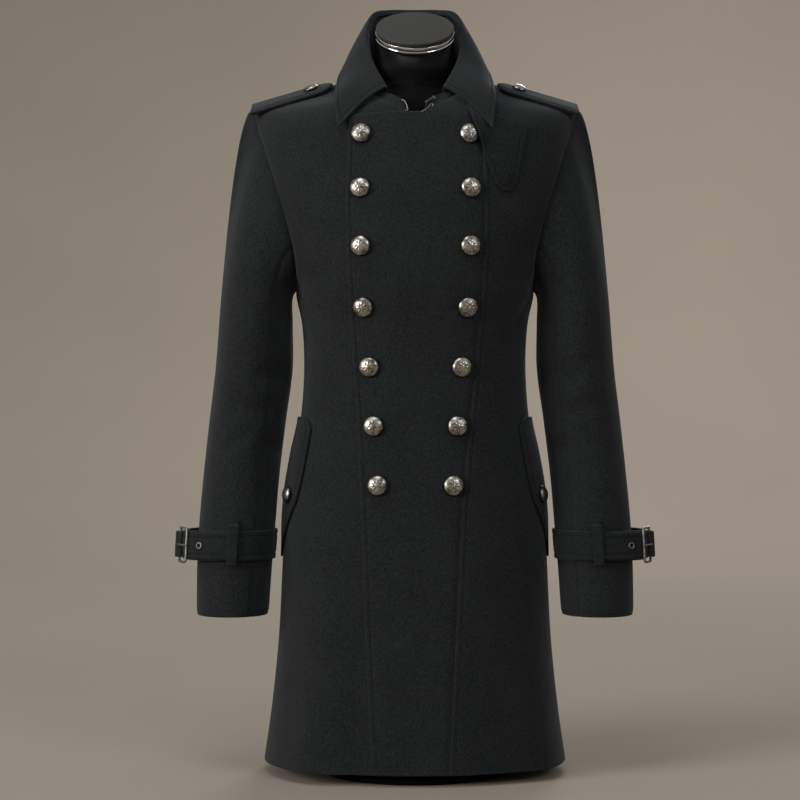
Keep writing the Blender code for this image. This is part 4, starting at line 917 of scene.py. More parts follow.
def collar_fall():
    """Rows from the lip over the roll to the edge: a spline through the roll and the swollen fall."""
    share = shares(0.70, 0.006) * 2.0 - 1.0
    roll, edge, lip, away, _ = collar_rows(share)
    swell = (COLLAR_BULGE_OUT * away + COLLAR_BULGE_UP * UP) * COLLAR_BULGE
    rows = [lip, roll] + [roll + (edge - roll) * step + swell * math.sin(math.pi * step ** COLLAR_BULGE_SKEW)
                          for step in COLLAR_STEPS]
    place = np.concatenate([np.linspace(0.0, 2.0, 14)[:-1], 2.0 + 4.0 * shares(0.10, 0.005, first=False)])
    grid = spline(np.array(rows), place)
    return grid, facing(grid)


STAND, STAND_OUT = collar_stand()
STAND_FACE = STAND + STAND_OUT * CLOTH
sew("collar_stand", STAND_FACE[:, ::-1], CLOTH, WOOL, "wool", ["form_torso"], STAND_OUT[:, ::-1])
FALL, FALL_OUT = collar_fall()
FALL = pull_in(FALL, 0.0, COLLAR_CLOTH / 2, COLLAR_CLOTH / 2, COLLAR_CLOTH / 2)
FALL = finish_edges(FALL, FALL_OUT, welts=(1, 2, 3))
sew("collar_fall", FALL, COLLAR_CLOTH, WOOL, "wool", ["collar_stand"], FALL_OUT)

# %% [markdown]
# ## Tab, epaulettes and pocket flaps
# The small pieces are doubled cloth, stitched round the edge. A throat tab hangs from under the left
# leaf and lies over the top button, a strap lies along each shoulder, and an upright flap covers each
# side pocket. They follow the panel below them, a little way out.

# %% Throat tab
TAB_LEFT = np.array([[0.066, 0.882], [0.105, 0.770]])
TAB_RIGHT = np.array([[0.146, 0.854], [0.129, 0.770]])
TAB_STEPS = np.array([0.00, 0.54, 0.70, 0.84, 0.93, 0.98, 1.00])
TAB_SCALES = np.array([1.0, 1.0, 1.0, 0.97, 0.82, 0.60, 0.34])
TAB_OFF = 0.0010
TAB_BUMP = 0.0115
TAB_BUMP_WIDTH = 0.0145
TAB_DRAW = 0.0008
TAB_WELT = 0.0004
ButtonRow = namedtuple("ButtonRow", "x z")
BUTTONS = [ButtonRow(0.0700, 0.844), ButtonRow(0.0710, 0.773), ButtonRow(0.0700, 0.698),
           ButtonRow(0.0665, 0.619), ButtonRow(0.0590, 0.541), ButtonRow(0.0535, 0.464),
           ButtonRow(0.0485, 0.387)]


def tab_off(x, z):
    """Stand-off of the tab: a bell over the top button that it covers in part."""
    apart = (x - BUTTONS[0].x) ** 2 + (z - BUTTONS[0].z) ** 2
    return TAB_OFF + TAB_BUMP * np.exp(-apart / (2 * TAB_BUMP_WIDTH ** 2))


def tab_places(step, across):
    """Places across and up the front: straight sides that draw together at the rounded end."""
    near = TAB_LEFT[0] + (TAB_LEFT[1] - TAB_LEFT[0]) * step[..., None]
    far = TAB_RIGHT[0] + (TAB_RIGHT[1] - TAB_RIGHT[0]) * step[..., None]
    scale = np.interp(step, TAB_STEPS, TAB_SCALES)
    place = (near + far) / 2 + (far - near) * (scale * (across - 0.5))[..., None]
    return place[..., 0], place[..., 1]


step, across = np.broadcast_arrays(shares(0.10, 0.003)[::-1, None], shares(0.060, 0.0035))
tab_x, tab_z = tab_places(step, across)
grid, out = front_place(tab_x, tab_z, tab_off(tab_x, tab_z) + CLOTH)
grid = pull_in(grid, TAB_DRAW, 0.0, TAB_DRAW, TAB_DRAW)
grid = finish_edges(grid, out, welts=(0, 2, 3), depth=TAB_WELT)
sew("throat_tab", grid, CLOTH, WOOL_TRIM, "wool_trim", ["collar_fall", "front_left"], out)
TAB_GRID, TAB_OUT = grid, out

# %% Epaulettes
EpauletteRow = namedtuple("EpauletteRow", "x half_width")
EPAULETTE = [
    EpauletteRow(0.1125, 0.0075), EpauletteRow(0.1170, 0.0150), EpauletteRow(0.1250, 0.0205),
    EpauletteRow(0.1400, 0.0218), EpauletteRow(0.1650, 0.0224), EpauletteRow(0.1900, 0.0228),
    EpauletteRow(0.2115, 0.0230), EpauletteRow(0.2190, 0.0230), EpauletteRow(0.2205, 0.0222),
]
EPAULETTE_THICK = 0.0045
EPAULETTE_OFF = 0.0013
EPAULETTE_Y = -0.0090
EPAULETTE_LEAN = 0.42
EPAULETTE_CROWN = 0.0012
EPAULETTE_WELT = 0.0006
EPAULETTE_BUTTON_X = 0.1400


def shoulder_ridge(x):
    """Height of the coat's outer face along the shoulder seam."""
    seam = FRONT[TOP]
    return seam.z_in + (seam.z_out - seam.z_in) * (x - seam.x_in) / (seam.x_out - seam.x_in) + CLOTH


def epaulette(side):
    """A slightly crowned strap: width by the table, height by the shoulder's slope and a forward lean."""
    inner, outer = EPAULETTE[0].x, EPAULETTE[-1].x
    x = (inner + (outer - inner) * shares(0.112, 0.0045))[:, None]
    half = np.interp(x, *zip(*EPAULETTE)) - EPAULETTE_THICK / 2
    across = (shares(0.046, 0.004) * 2.0 - 1.0)[None, :]
    y = EPAULETTE_Y + half * across
    z = shoulder_ridge(x) + EPAULETTE_OFF + (y - SIDE_Y) * EPAULETTE_LEAN + EPAULETTE_THICK
    z = z + EPAULETTE_CROWN * (1.0 - across ** 2)
    grid = np.stack([side * np.broadcast_to(x, y.shape), y, z], axis=-1)
    grid = pull_in(grid, EPAULETTE_THICK / 2, EPAULETTE_THICK / 2)
    grid = grid if side < 0 else grid[:, ::-1]
    return finish_edges(grid, facing(grid), welts=(2, 3), depth=EPAULETTE_WELT)


EPAULETTES = {}
for side, word in SIDES:
    EPAULETTES[word] = epaulette(side)
    sew("epaulette_" + word, EPAULETTES[word], EPAULETTE_THICK, WOOL_TRIM, "wool_trim",
        ["front_" + word, "back_" + word], rim=7, power=0.55)

# %% Pocket flaps
FlapRow = namedtuple("FlapRow", "z turn")
FLAP = [FlapRow(0.4750, 0.36), FlapRow(0.4700, 0.50), FlapRow(0.4600, 0.57), FlapRow(0.4300, 0.58),
        FlapRow(0.4000, 0.57), FlapRow(0.3780, 0.55), FlapRow(0.3600, 0.50), FlapRow(0.3300, 0.34),
        FlapRow(0.3050, 0.19), FlapRow(0.2870, 0.07)]
FLAP_REAR = -0.03
FLAP_OFF = 0.0018
FLAP_SETTLE = 0.0013
FLAP_SETTLED = 0.340
FLAP_CLOTH = 0.0025
FLAP_DRAW = 0.001
FLAP_BUTTON = (0.162, 0.372)


def flap(side):
    """Heights by rows; the front edge is a turn from the side seam, read from the table, and the lowest
    part of the flap settles on the coat."""
    z = (FLAP[-1].z + (FLAP[0].z - FLAP[-1].z) * shares(0.19, 0.0045))[:, None]
    turn = np.interp(z, [row.z for row in FLAP[::-1]], [row.turn for row in FLAP[::-1]])
    level = np.interp(z, [row.z_in for row in FRONT[:ARMPIT]], np.arange(ARMPIT))
    angle = side * (math.pi / 2 - (FLAP_REAR + (turn - FLAP_REAR) * shares(0.07, 0.0045)))
    out = outward("front", level, angle)
    off = FLAP_OFF - FLAP_SETTLE * smooth((FLAP_SETTLED - z) / (FLAP_SETTLED - FLAP[-1].z))
    grid = surface("front", level, angle) + out * (CLOTH + off + FLAP_CLOTH)[..., None]
    grid = pull_in(grid, FLAP_DRAW, FLAP_DRAW, 0.0, FLAP_DRAW)
    flip = slice(None, None, -1) if side > 0 else slice(None)
    grid, out = grid[:, flip], out[:, flip]
    return finish_edges(grid, out, welts=(0, 1, 2 if side > 0 else 3)), out


FLAPS = {}
for side, word in SIDES:
    FLAPS[word], out = flap(side)
    sew("pocket_flap_" + word, FLAPS[word], FLAP_CLOTH, WOOL_TRIM, "wool_trim",
        ["front_" + word], out)

# %% [markdown]
# ## Cuff straps
# A strap runs round each cuff. Its end, the tongue, goes through a buckle on the outer side and lies
# over the strap; a loop of the same cloth holds both at the front.

# %% Strap, tongue and loop
STRAP_Z = 0.306
STRAP_HALF = 0.020
STRAP_CLOTH = 0.0030
STRAP_OFF = 0.0010
STRAP_BULGE = 0.0150
STRAP_BULGE_TURN = math.radians(10)
STRAP_BULGE_WIDTH = math.radians(38)
TONGUE_FROM = math.radians(-20)
TONGUE_TO = math.radians(100)
TONGUE_HALF = 0.0185
TONGUE_CLOTH = 0.0025
LOOP_TURN = math.radians(90)
LOOP_HALF_TURN = math.radians(5.6)
LOOP_CLOTH = 0.0020
LoopRow = namedtuple("LoopRow", "rise off")
LOOP = [LoopRow(-0.0248, 0.0008), LoopRow(-0.0240, 0.0008), LoopRow(-0.0233, 0.0050),
        LoopRow(-0.0218, 0.0078), LoopRow(0.0235, 0.0078), LoopRow(0.0265, 0.0050),
        LoopRow(0.0290, 0.0008), LoopRow(0.0340, 0.0008)]
LOOP_LOWEST = 0.0008
LOOP_HIGHEST = 0.0082
TONGUE_TIP = 0.16
TONGUE_ROUND = 0.175
TONGUE_LEAST = 0.05
TONGUE_DRAW = 0.001


def strap_off(turn):
    """Stand-off of the strap's inner face: it bows away from the sleeve under the buckle."""
    apart = np.angle(np.exp(1j * (np.asarray(turn, float) - STRAP_BULGE_TURN)))
    return STRAP_OFF + STRAP_BULGE * np.exp(-(apart / STRAP_BULGE_WIDTH) ** 2)


def strap_place(side, turn, rise, off):
    """Points round the cuff: rise is from the strap's middle line, off from the sleeve's face."""
    heights = [row.z for row in SLEEVE][::-1]
    level = np.interp(STRAP_Z + np.asarray(rise, float), heights, np.arange(len(SLEEVE))[::-1])
    return sleeve_face(side, level, turn, off, creased=False)


def ring_wall(grid, thick, rim=3):
    """Closed wall on a grid whose columns go right round: two faces and two half-round rims."""
    columns = grid.shape[1]
    inner = grid - facing(grid, True) * thick
    turn = np.linspace(0.0, math.pi, rim + 2)[1:-1, None, None]

    def rim_of(high, low, away):
        return (high + low) / 2 + (high - low) / 2 * np.cos(turn) + away * thick / 2 * np.sin(turn)

    end = rim_of(grid[-1], inner[-1], unit(grid[-1] - grid[-2]))
    start = rim_of(inner[0], grid[0], unit(grid[0] - grid[1]))
    section = np.concatenate([grid, end, inner[::-1], start])
    closed = np.concatenate([section, section[:1]])
    faces = quads(len(closed), columns, True) % (len(section) * columns)
    return section, faces.tolist()


STRAPS = {}
for side, word in SIDES:
    turn = circle(144)
    rise = (shares(2 * STRAP_HALF, 0.003) * 2.0 - 1.0)[:, None] * (STRAP_HALF - STRAP_CLOTH / 2)
    grid = strap_place(side, turn, rise, strap_off(turn) + STRAP_CLOTH)
    grid = grid if side < 0 else grid[:, ::-1]
    up = runs(grid)
    groove = np.exp(-((np.minimum(up, up[-1] - up) - WELT_INSET) / WELT_WIDTH) ** 2)
    grid = grid - facing(grid, True) * (WELT_DEPTH * groove)[..., None]
    piece = put(f"cuff_strap_{word}_cloth", *ring_wall(grid, STRAP_CLOTH), WOOL_TRIM, "wool_trim",
                "cuff_strap_" + word)
    around = runs(np.concatenate([grid, grid[:, :1]], axis=1).swapaxes(0, 1))[-1].max()
    "top_sleeve_" + word
    print(f"cuff_strap_{word}: {around * 100:.1f} cm round")

    turn = TONGUE_FROM + (TONGUE_TO - TONGUE_FROM) * shares(0.13, 0.004)
    into_tip = np.clip((turn - TONGUE_TO + TONGUE_TIP) / TONGUE_ROUND, 0.0, 1.0)
    narrow = np.sqrt(np.clip(1.0 - into_tip ** 2, TONGUE_LEAST, 1.0))
    rise = (shares(2 * TONGUE_HALF, 0.003) * 2.0 - 1.0)[:, None] * (TONGUE_HALF - TONGUE_CLOTH / 2) * narrow
    grid = strap_place(side, turn, rise, strap_off(turn) + STRAP_CLOTH + SEAM + TONGUE_CLOTH)
    grid = grid if side < 0 else grid[:, ::-1]
    out = facing(grid)
    grid = pull_in(grid, 0.0, 0.0, TONGUE_DRAW, TONGUE_DRAW)
    grid = finish_edges(grid, out, welts=(0, 1, 2 if side > 0 else 3))
    sew("strap_tongue_" + word, grid, TONGUE_CLOTH, WOOL_TRIM, "wool_trim", ["cuff_strap_" + word])
    STRAPS[word] = grid

    row = read_rows(LOOP, np.linspace(0.0, len(LOOP) - 1.0, 71))
    turn = LOOP_TURN + (shares(0.034, 0.005, first=False, last=False) * 2.0 - 1.0) * LOOP_HALF_TURN
    off = np.clip(row.off, LOOP_LOWEST, LOOP_HIGHEST)[:, None] + LOOP_CLOTH
    grid = strap_place(side, turn[None], row.rise[:, None], off)
    grid = grid if side < 0 else grid[:, ::-1]
    sew("strap_loop_" + word, grid, LOOP_CLOTH, WOOL_TRIM, "wool_trim", ["cuff_strap_" + word])

# %% [markdown]
# ## Metal
# The buttons are domed shells of worn silver-coloured metal with a low rosette, so their highlights
# break up. A turned profile with a relief on it is one function of radius and angle. Recesses keep
# dark tarnish while the high places are rubbed bright, and the outer rim is darkened as painted shade:
# each point carries how deep it lies and whether it is on the rim.


# %% Metal finishes
def worn_metal(name, bright, dark, rough):
    """Metal whose hollows are dark and dull with tarnish, and whose marked rims are darkened as painted
    shade; fine scratches and spots change the roughness.
    """
    metal = Finish(name, Metallic=1.0, Roughness=rough)
    spots = metal.noise(420.0, 3.0, 0.6)
    scratches = metal.noise(1400.0, 2.0, 0.5, (0.25, 1.0, 1.0))
    # The mark darkens tarnish in the recesses and paints shade on the buttons' outer rims.
    dark_tarnish_and_rim_shade = metal.mark("tarnish_and_rim_shade") * 0.55 + metal.noise(170.0, 2.0) * 1.9 + spots * 0.35 - 1.02
    metal.feed(Base_Color=metal.mix(dark_tarnish_and_rim_shade, bright, dark), Roughness=rough + spots * 0.12 + scratches * 0.10)
    metal.bump(spots * 0.5 + scratches * 0.5, 0.00012, 0.5)
    return metal.material


BUTTON_METAL = worn_metal("worn silver", (0.58, 0.545, 0.482, 1.0), (0.050, 0.045, 0.039, 1.0), 0.22)
FITTING_METAL = worn_metal("satin nickel", (0.24, 0.23, 0.21, 1.0), (0.045, 0.043, 0.040, 1.0), 0.38)

# %% Buttons
ButtonProfile = namedtuple("ButtonProfile", "radius height")
BUTTON_PROFILE = [ButtonProfile(0.50, 0.00), ButtonProfile(0.80, 0.00), ButtonProfile(0.94, 0.06),
                  ButtonProfile(1.00, 0.17), ButtonProfile(0.95, 0.28), ButtonProfile(0.87, 0.37),
                  ButtonProfile(0.68, 0.49), ButtonProfile(0.42, 0.575), ButtonProfile(0.12, 0.617)]
BUTTON_RADIUS = 0.0134
SHOULDER_BUTTON_RADIUS = 0.0100
POCKET_BUTTON_RADIUS = 0.0112
BUTTON_OFF = 0.0006
SHOULDER_BUTTON_OFF = 0.0004
POCKET_BUTTON_OFF = 0.0012
PETALS = 8
BEADS = 40
PETAL_HEIGHT = 0.020
LEAF_HEIGHT = 0.012
BEAD_HEIGHT = 0.010
BOSS_HEIGHT = 0.022
CROWN_HEIGHT = 0.004


def square_to(axis):
    """Two directions square to an axis and to each other."""
    helper = UP if abs(axis[2]) < 0.9 else np.array([0.0, 1.0, 0.0])
    first = unit(np.cross(helper, axis))
    return first, np.cross(axis, first)


def bell(value, middle, width):
    """Bell curve round a middle."""
    return np.exp(-((value - middle) / width) ** 2)


def rosette(radius, turn):
    """Relief as a share of the radius: petals, a boss in the middle and a beaded ring near the rim."""
    petals = np.clip(np.cos(PETALS * turn), 0.0, None) ** 0.7 * bell(radius, 0.42, 0.17)
    leaves = np.clip(-np.cos(PETALS * turn), 0.0, None) ** 1.5 * bell(radius, 0.58, 0.10)
    beads = (0.55 + 0.45 * np.cos(BEADS * turn)) * bell(radius, 0.80, 0.045)
    boss = bell(radius, 0.0, 0.14)
    return PETAL_HEIGHT * petals + LEAF_HEIGHT * leaves + BEAD_HEIGHT * beads + BOSS_HEIGHT * boss


def button(node, place, axis, size):
    """Turned dome: the profile's spline carried round the axis, with the rosette added along it."""
    axis = unit(axis)
    first, second = square_to(axis)
    row = read_rows(BUTTON_PROFILE, np.linspace(0.0, len(BUTTON_PROFILE) - 1.0, 46))
    turn = circle(80)
    radius = row.radius[:, None]
    relief = rosette(radius, turn) * smooth((row.height[:, None] - 0.2) / 0.1)
    height = row.height[:, None] + relief
    ring = first * np.cos(turn)[:, None] + second * np.sin(turn)[:, None]
    rings = place + size * (radius[..., None] * ring + height[..., None] * axis)
    top = place + size * (BUTTON_PROFILE[-1].height + CROWN_HEIGHT + BOSS_HEIGHT) * axis
    points, faces = capped(rings[None], np.asarray(place)[None], top[None])
    # Dark share: tarnish where the relief is low, and painted shade on the rim from 0.90 of the radius out.
    recess_and_rim_shade = np.maximum(np.clip(1.0 - relief / 0.016, 0.0, 1.0), 2.0 * smooth((radius - 0.90) / 0.08))
    tarnish_and_rim_shade = np.concatenate([recess_and_rim_shade.ravel(), [1.0, 0.0]])
    return put(node + "_turned", points, faces, BUTTON_METAL, "button_metal", node, marks={"tarnish_and_rim_shade": tarnish_and_rim_shade})


for index, row in enumerate(BUTTONS, start=1):
    for side, word in SIDES:
        place, out = front_place(side * row.x, row.z, BUTTON_OFF)
        button(f"button_{word}_{index}", place, out, BUTTON_RADIUS)

slope = (FRONT[TOP].z_in - FRONT[TOP].z_out) / (FRONT[TOP].x_out - FRONT[TOP].x_in)
for side, word in SIDES:
    top = shoulder_ridge(EPAULETTE_BUTTON_X) + EPAULETTE_OFF + EPAULETTE_THICK + EPAULETTE_CROWN
    top = top + SHOULDER_BUTTON_OFF + (EPAULETTE_Y - SIDE_Y) * EPAULETTE_LEAN
    place = np.array([side * EPAULETTE_BUTTON_X, EPAULETTE_Y, top])
    axis = np.array([side * slope, -EPAULETTE_LEAN, 1.0])
    button("epaulette_button_" + word, place, axis, SHOULDER_BUTTON_RADIUS)
    mirror = np.array([side, 1.0, 1.0])
    place, out = front_place(*FLAP_BUTTON, FLAP_OFF + FLAP_CLOTH + POCKET_BUTTON_OFF)
    button("pocket_button_" + word, place * mirror, out * mirror, POCKET_BUTTON_RADIUS)
print("buttons:", 2 * len(BUTTONS) + 4)

# %% [markdown]
# ## Wire fittings
# Buckles, prongs, eyelets, hooks and the eye are bent wire or rolled rings: a circle carried along a
# smooth path. A closed path gives a ring; an open one gets rounded ends.


# %% Wire along a path
def wire_rings(path, radius, sides, closed):
    """A circle of a radius at each point of the path, square to its way on."""
    ahead = unit(np.roll(path, -1, 0) - np.roll(path, 1, 0)) if closed else unit(np.gradient(path, axis=0))
    helper = unit(np.broadcast_to(np.array([0.31, 0.52, 0.79]), path.shape))
    first = unit(np.cross(ahead, helper))
    second = np.cross(ahead, first)
    turn = circle(sides)[:, None]
    radius = np.broadcast_to(np.asarray(radius, float), (len(path),))[:, None, None]
    return path[:, None] + radius * (first[:, None] * np.cos(turn) + second[:, None] * np.sin(turn)), ahead


def closed_curve(corners, count):
    """Spline through corners that returns to its start."""
    corners = np.asarray(corners, float)
    around = np.concatenate([corners[-2:], corners, corners[:3]])
    return spline(around, 2.0 + np.linspace(0.0, len(corners), count + 1)[:-1])


def wire(node, path, radius, finish, slot, closed=False, sides=12, stands_for=True):
    """Wire piece; an open wire ends in half-round caps."""
    path = np.asarray(path, float)
    nodes = (node,) if stands_for else ()
    if closed:
        rings, _ = wire_rings(path, radius, sides, True)
        faces = quads(len(path) + 1, sides, True) % (len(path) * sides)
        return put(node + "_wire", rings, faces.tolist(), finish, slot, *nodes,
                   marks={"tarnish_and_rim_shade": np.zeros(len(path) * sides)})
    _, ahead = wire_rings(path, radius, sides, False)
    cap = np.array([0.25, 0.6, 0.85])
    head = path[0] - ahead[0] * radius * (1.0 - cap)[:, None]
    tail = (path[-1] + ahead[-1] * radius * (1.0 - cap)[:, None])[::-1]
    thin = radius * np.sqrt(1.0 - (1.0 - cap) ** 2)
    whole = np.concatenate([head, path, tail])
    radii = np.concatenate([thin, np.full(len(path), radius), thin[::-1]])
    rings, _ = wire_rings(whole, radii, sides, False)
    start = (path[0] - ahead[0] * radius)[None]
    end = (path[-1] + ahead[-1] * radius)[None]
    points, faces = capped(rings[None], start, end)
    return put(node + "_wire", points, faces, finish, slot, *nodes, marks={"tarnish_and_rim_shade": np.zeros(len(points))})


# %% Buckles, prongs and eyelets, and the strap's end folded over the buckle's heel
BUCKLE_TURN = math.radians(17)
BUCKLE_HALF_TURN = math.radians(11.5)
BUCKLE_HALF = 0.0225
BUCKLE_WIRE = 0.0016
BUCKLE_CORNER = 0.8
PRONG_WIRE = 0.0011
PRONG_REACH = 1.25
EYELET_TURN = math.radians(46)
EYELET_RADIUS = 0.0045
EYELET_WIRE = 0.0009
BUCKLE_SKIN = STRAP_CLOTH + TONGUE_CLOTH + 2 * SEAM
FOLD_BEFORE = math.radians(-18)
FOLD_BEYOND = math.radians(10)
FOLD_HALF = 0.0165
FOLD_CLOTH = 0.0018
FOLD_RISE = 0.0062
FOLD_REACH = 1.08
EYELET_NUDGE = 0.05
EYELET_UP = 0.01

for side, word in SIDES:
    near = BUCKLE_CORNER
    corners = np.array([(-1, -near), (-1, 0), (-1, near), (-near, 1), (0, 1), (near, 1),
                        (1, near), (1, 0), (1, -near), (near, -1), (0, -1), (-near, -1)])
    corners = closed_curve(corners, 96)
    turn = BUCKLE_TURN + corners[:, 0] * BUCKLE_HALF_TURN
    off = strap_off(turn) + BUCKLE_SKIN + SEAM + BUCKLE_WIRE
    path = strap_place(side, turn, corners[:, 1] * BUCKLE_HALF, off)
    wire("cuff_buckle_" + word, path, BUCKLE_WIRE, FITTING_METAL, "fitting_metal", True)

    turn = BUCKLE_TURN + np.linspace(-PRONG_REACH, PRONG_REACH, 40) * BUCKLE_HALF_TURN
    off = strap_off(turn) + BUCKLE_SKIN + 2 * SEAM + 2 * BUCKLE_WIRE + PRONG_WIRE
    path = strap_place(side, turn, 0.0, off)
    wire("buckle_prong_" + word, path, PRONG_WIRE, FITTING_METAL, "fitting_metal")

    heel = BUCKLE_TURN - BUCKLE_HALF_TURN
    turn = heel + FOLD_BEFORE + (FOLD_BEYOND - FOLD_BEFORE) * np.linspace(0.0, 1.0, 31)
    apart = (turn - heel) / np.where(turn > heel, FOLD_BEYOND, -FOLD_BEFORE)
    hump = FOLD_RISE * smooth(FOLD_REACH - np.abs(apart))
    rise = (shares(2 * FOLD_HALF, 0.003) * 2.0 - 1.0)[:, None] * FOLD_HALF
    grid = strap_place(side, turn, rise, strap_off(turn) + BUCKLE_SKIN + SEAM + hump + FOLD_CLOTH)
    grid = grid if side < 0 else grid[:, ::-1]
    piece = put(f"cuff_strap_{word}_fold", *wall(grid, FOLD_CLOTH), WOOL_TRIM, "wool_trim")
    width, length, area = flat_size(grid)
    "cuff_strap_" + word

    off = strap_off(EYELET_TURN) + BUCKLE_SKIN
    beyond = EYELET_TURN + EYELET_NUDGE
    centre = strap_place(side, EYELET_TURN, 0.0, off)
    ahead = strap_place(side, beyond, 0.0, strap_off(beyond) + BUCKLE_SKIN) - centre
    above = strap_place(side, EYELET_TURN, EYELET_UP, off) - centre
    normal = unit(np.cross(above, ahead)) * side
    first = unit(ahead)
    second = np.cross(normal, first)
    turn = circle(48)[:, None]
    ring = first * np.cos(turn) + second * np.sin(turn)
    path = centre + normal * EYELET_WIRE + ring * (EYELET_RADIUS - EYELET_WIRE)
    wire("strap_eyelet_" + word, path, EYELET_WIRE, FITTING_METAL, "fitting_metal", True)

# %% Hooks and eye at the throat
HOOK_WIRE = 0.0008
HOOK_OFF = 0.0006
HOOK_RING = 0.0018
HOOK_REACH = 0.006
HOOK_BEND = np.array([0.0, -0.0026, 0.0])
HOOK_POINT = np.array([0.0, -0.0020, 0.0])
EYE_BOW = np.array([0.0034, -0.0008, 0.0])


def on_stand(share_up, share_along):
    """Point on the stand's outer face, and its direction out."""
    rows, columns = STAND_FACE.shape[:2]
    row = int(round(share_up * (rows - 1)))
    column = int(round(share_along * (columns - 1)))
    return STAND_FACE[row, column] + STAND_OUT[row, column] * (HOOK_OFF + HOOK_WIRE), STAND_OUT[row, column]


for node, up in (("collar_hook_lower", 0.30), ("collar_hook_upper", 0.77)):
    base, out = on_stand(up, 0.972)
    end, _ = on_stand(up, 0.999)
    ahead = unit(end - base)
    turn = np.linspace(0.3, 1.75, 9)[:, None] * math.pi
    sewn_ring = base + HOOK_RING * (ahead * np.cos(turn) + np.cross(out, ahead) * np.sin(turn))
    tip = end + ahead * HOOK_REACH
    bend = tip + HOOK_BEND
    point = (end + bend) / 2 + HOOK_POINT
    corners = np.concatenate([sewn_ring, [(base + end) / 2, end, tip, bend, point]])
    path = spline(corners, np.linspace(0.0, len(corners) - 1.0, 80))
    wire(node, path, HOOK_WIRE, FITTING_METAL, "fitting_metal")
corners = np.array([on_stand(up, 0.001)[0] for up in (0.20, 0.35, 0.55, 0.75, 0.90)])
corners += np.array([0.0, 0.8, 1.0, 0.8, 0.0])[:, None] * EYE_BOW
path = spline(corners, np.linspace(0.0, len(corners) - 1.0, 40))
wire("collar_eye", path, HOOK_WIRE, FITTING_METAL, "fitting_metal")

# %% [markdown]
# ## The dress form
# Inside the coat stands a glossy black torso with no limbs, closed at the neck by a chrome band and a
# flat grey disc, on a pole and a round plate. Only the neck shows from the front. The torso follows the
# form's own table of sections, and the rest is turned.


# %% Form finishes
def gloss_finish():
    """Black lacquer: a hard coat over a dark body, with faint dust; it is dull below the neck."""
    gloss = Finish("black lacquer", Specular_IOR_Level=0.07, Coat_Roughness=0.12)
    dust = gloss.noise(60.0, 4.0, 0.6)
    place = gloss.node("ShaderNodeTexCoord", out=3)
    height = gloss.node("ShaderNodeSeparateXYZ", None, {"Vector": place}, 2)
    dull = gloss.node("ShaderNodeMapRange", {"interpolation_type": "SMOOTHSTEP"},
                      {"Value": height, "From Min": 0.955, "From Max": 0.935})
    gloss.feed(Base_Color=gloss.mix(dust, (0.0010, 0.0011, 0.0011, 1.0), (0.0026, 0.0028, 0.0028, 1.0)),
               Roughness=0.24 + dust * 0.10 + dull * 0.5, Coat_Weight=0.03 - dull * 0.03)
    gloss.bump(gloss.noise(35.0, 1.0), 0.0004, 0.15)
    return gloss.material


def chrome_finish():
    """Polished plate with faint cloudy marks."""
    chrome = Finish("polished chrome", Metallic=1.0)
    marks = chrome.noise(140.0, 3.0, 0.6)
    chrome.feed(Base_Color=chrome.mix(marks, (0.74, 0.73, 0.70, 1.0), (0.62, 0.61, 0.59, 1.0)),
                Roughness=0.06 + marks * 0.10)
    chrome.bump(chrome.noise(90.0, 2.0), 0.0001, 0.3)
    return chrome.material


def disc_finish():
    """Satin grey paint on the neck disc, slightly grained."""
    paint = Finish("satin grey paint", Specular_IOR_Level=0.35)
    grain = paint.noise(900.0, 3.0, 0.6)
    paint.feed(Base_Color=paint.mix(grain, (0.0225, 0.0225, 0.0200, 1.0), (0.0335, 0.0335, 0.0298, 1.0)),
               Roughness=0.45 + grain * 0.2)
    paint.bump(grain, 0.0002, 0.4)
    return paint.material


GLOSS = gloss_finish()
CHROME = chrome_finish()
DISC = disc_finish()

# %% Torso and neck
FormRow = namedtuple("FormRow", "z half_width front back square tilt")
FORM = [
    FormRow(0.310, 0.122, -0.080, 0.078, 2.2, 0.0), FormRow(0.320, 0.138, -0.092, 0.089, 2.2, 0.0),
    FormRow(0.365, 0.150, -0.100, 0.097, 2.2, 0.0), FormRow(0.425, 0.145, -0.098, 0.092, 2.2, 0.0),
    FormRow(0.475, 0.137, -0.096, 0.085, 2.2, 0.0), FormRow(0.540, 0.133, -0.095, 0.080, 2.2, 0.0),
    FormRow(0.600, 0.136, -0.100, 0.083, 2.2, 0.0), FormRow(0.648, 0.142, -0.104, 0.088, 2.2, 0.0),
    FormRow(0.725, 0.146, -0.105, 0.095, 2.1, 0.0), FormRow(0.795, 0.156, -0.097, 0.094, 2.0, 0.0),
    FormRow(0.840, 0.168, -0.087, 0.087, 1.8, 0.0), FormRow(0.868, 0.182, -0.077, 0.079, 1.5, 0.0),
    FormRow(0.8860, 0.1860, -0.070, 0.074, 1.3, 0.0), FormRow(0.8998, 0.1845, -0.066, 0.071, 1.2, 0.0),
    FormRow(0.9022, 0.1670, -0.063, 0.069, 1.2, 0.0), FormRow(0.9060, 0.1402, -0.061, 0.067, 1.2, 0.0),
    FormRow(0.9130, 0.0980, -0.052, 0.062, 1.2, 0.0), FormRow(0.9220, 0.0680, -0.051, 0.060, 1.5, 0.0),
    FormRow(0.9330, 0.0590, -0.051, 0.059, 1.8, 0.06), FormRow(0.9480, 0.0560, -0.051, 0.056, 2.0, 0.20),
    FormRow(0.9660, 0.0540, -0.047, 0.050, 2.0, 0.42), FormRow(0.9850, 0.0520, -0.0415, 0.0455, 2.0, 0.675),
]
NECK_FROM = 17
NECK_TILT = math.radians(34)
NECK_TOP = np.array([0.0, 0.002, 0.985])
NECK_AXIS = np.array([0.0, -math.sin(NECK_TILT), math.cos(NECK_TILT)])
NECK_RING_RADIUS = 0.0532
NECK_RING_HEIGHT = 0.0110
NECK_CAP_RADIUS = 0.0526
NECK_CAP_HEIGHT = 0.0060
POLE_RADIUS = 0.016
BASE_RADIUS = 0.125
BASE_THICK = 0.008


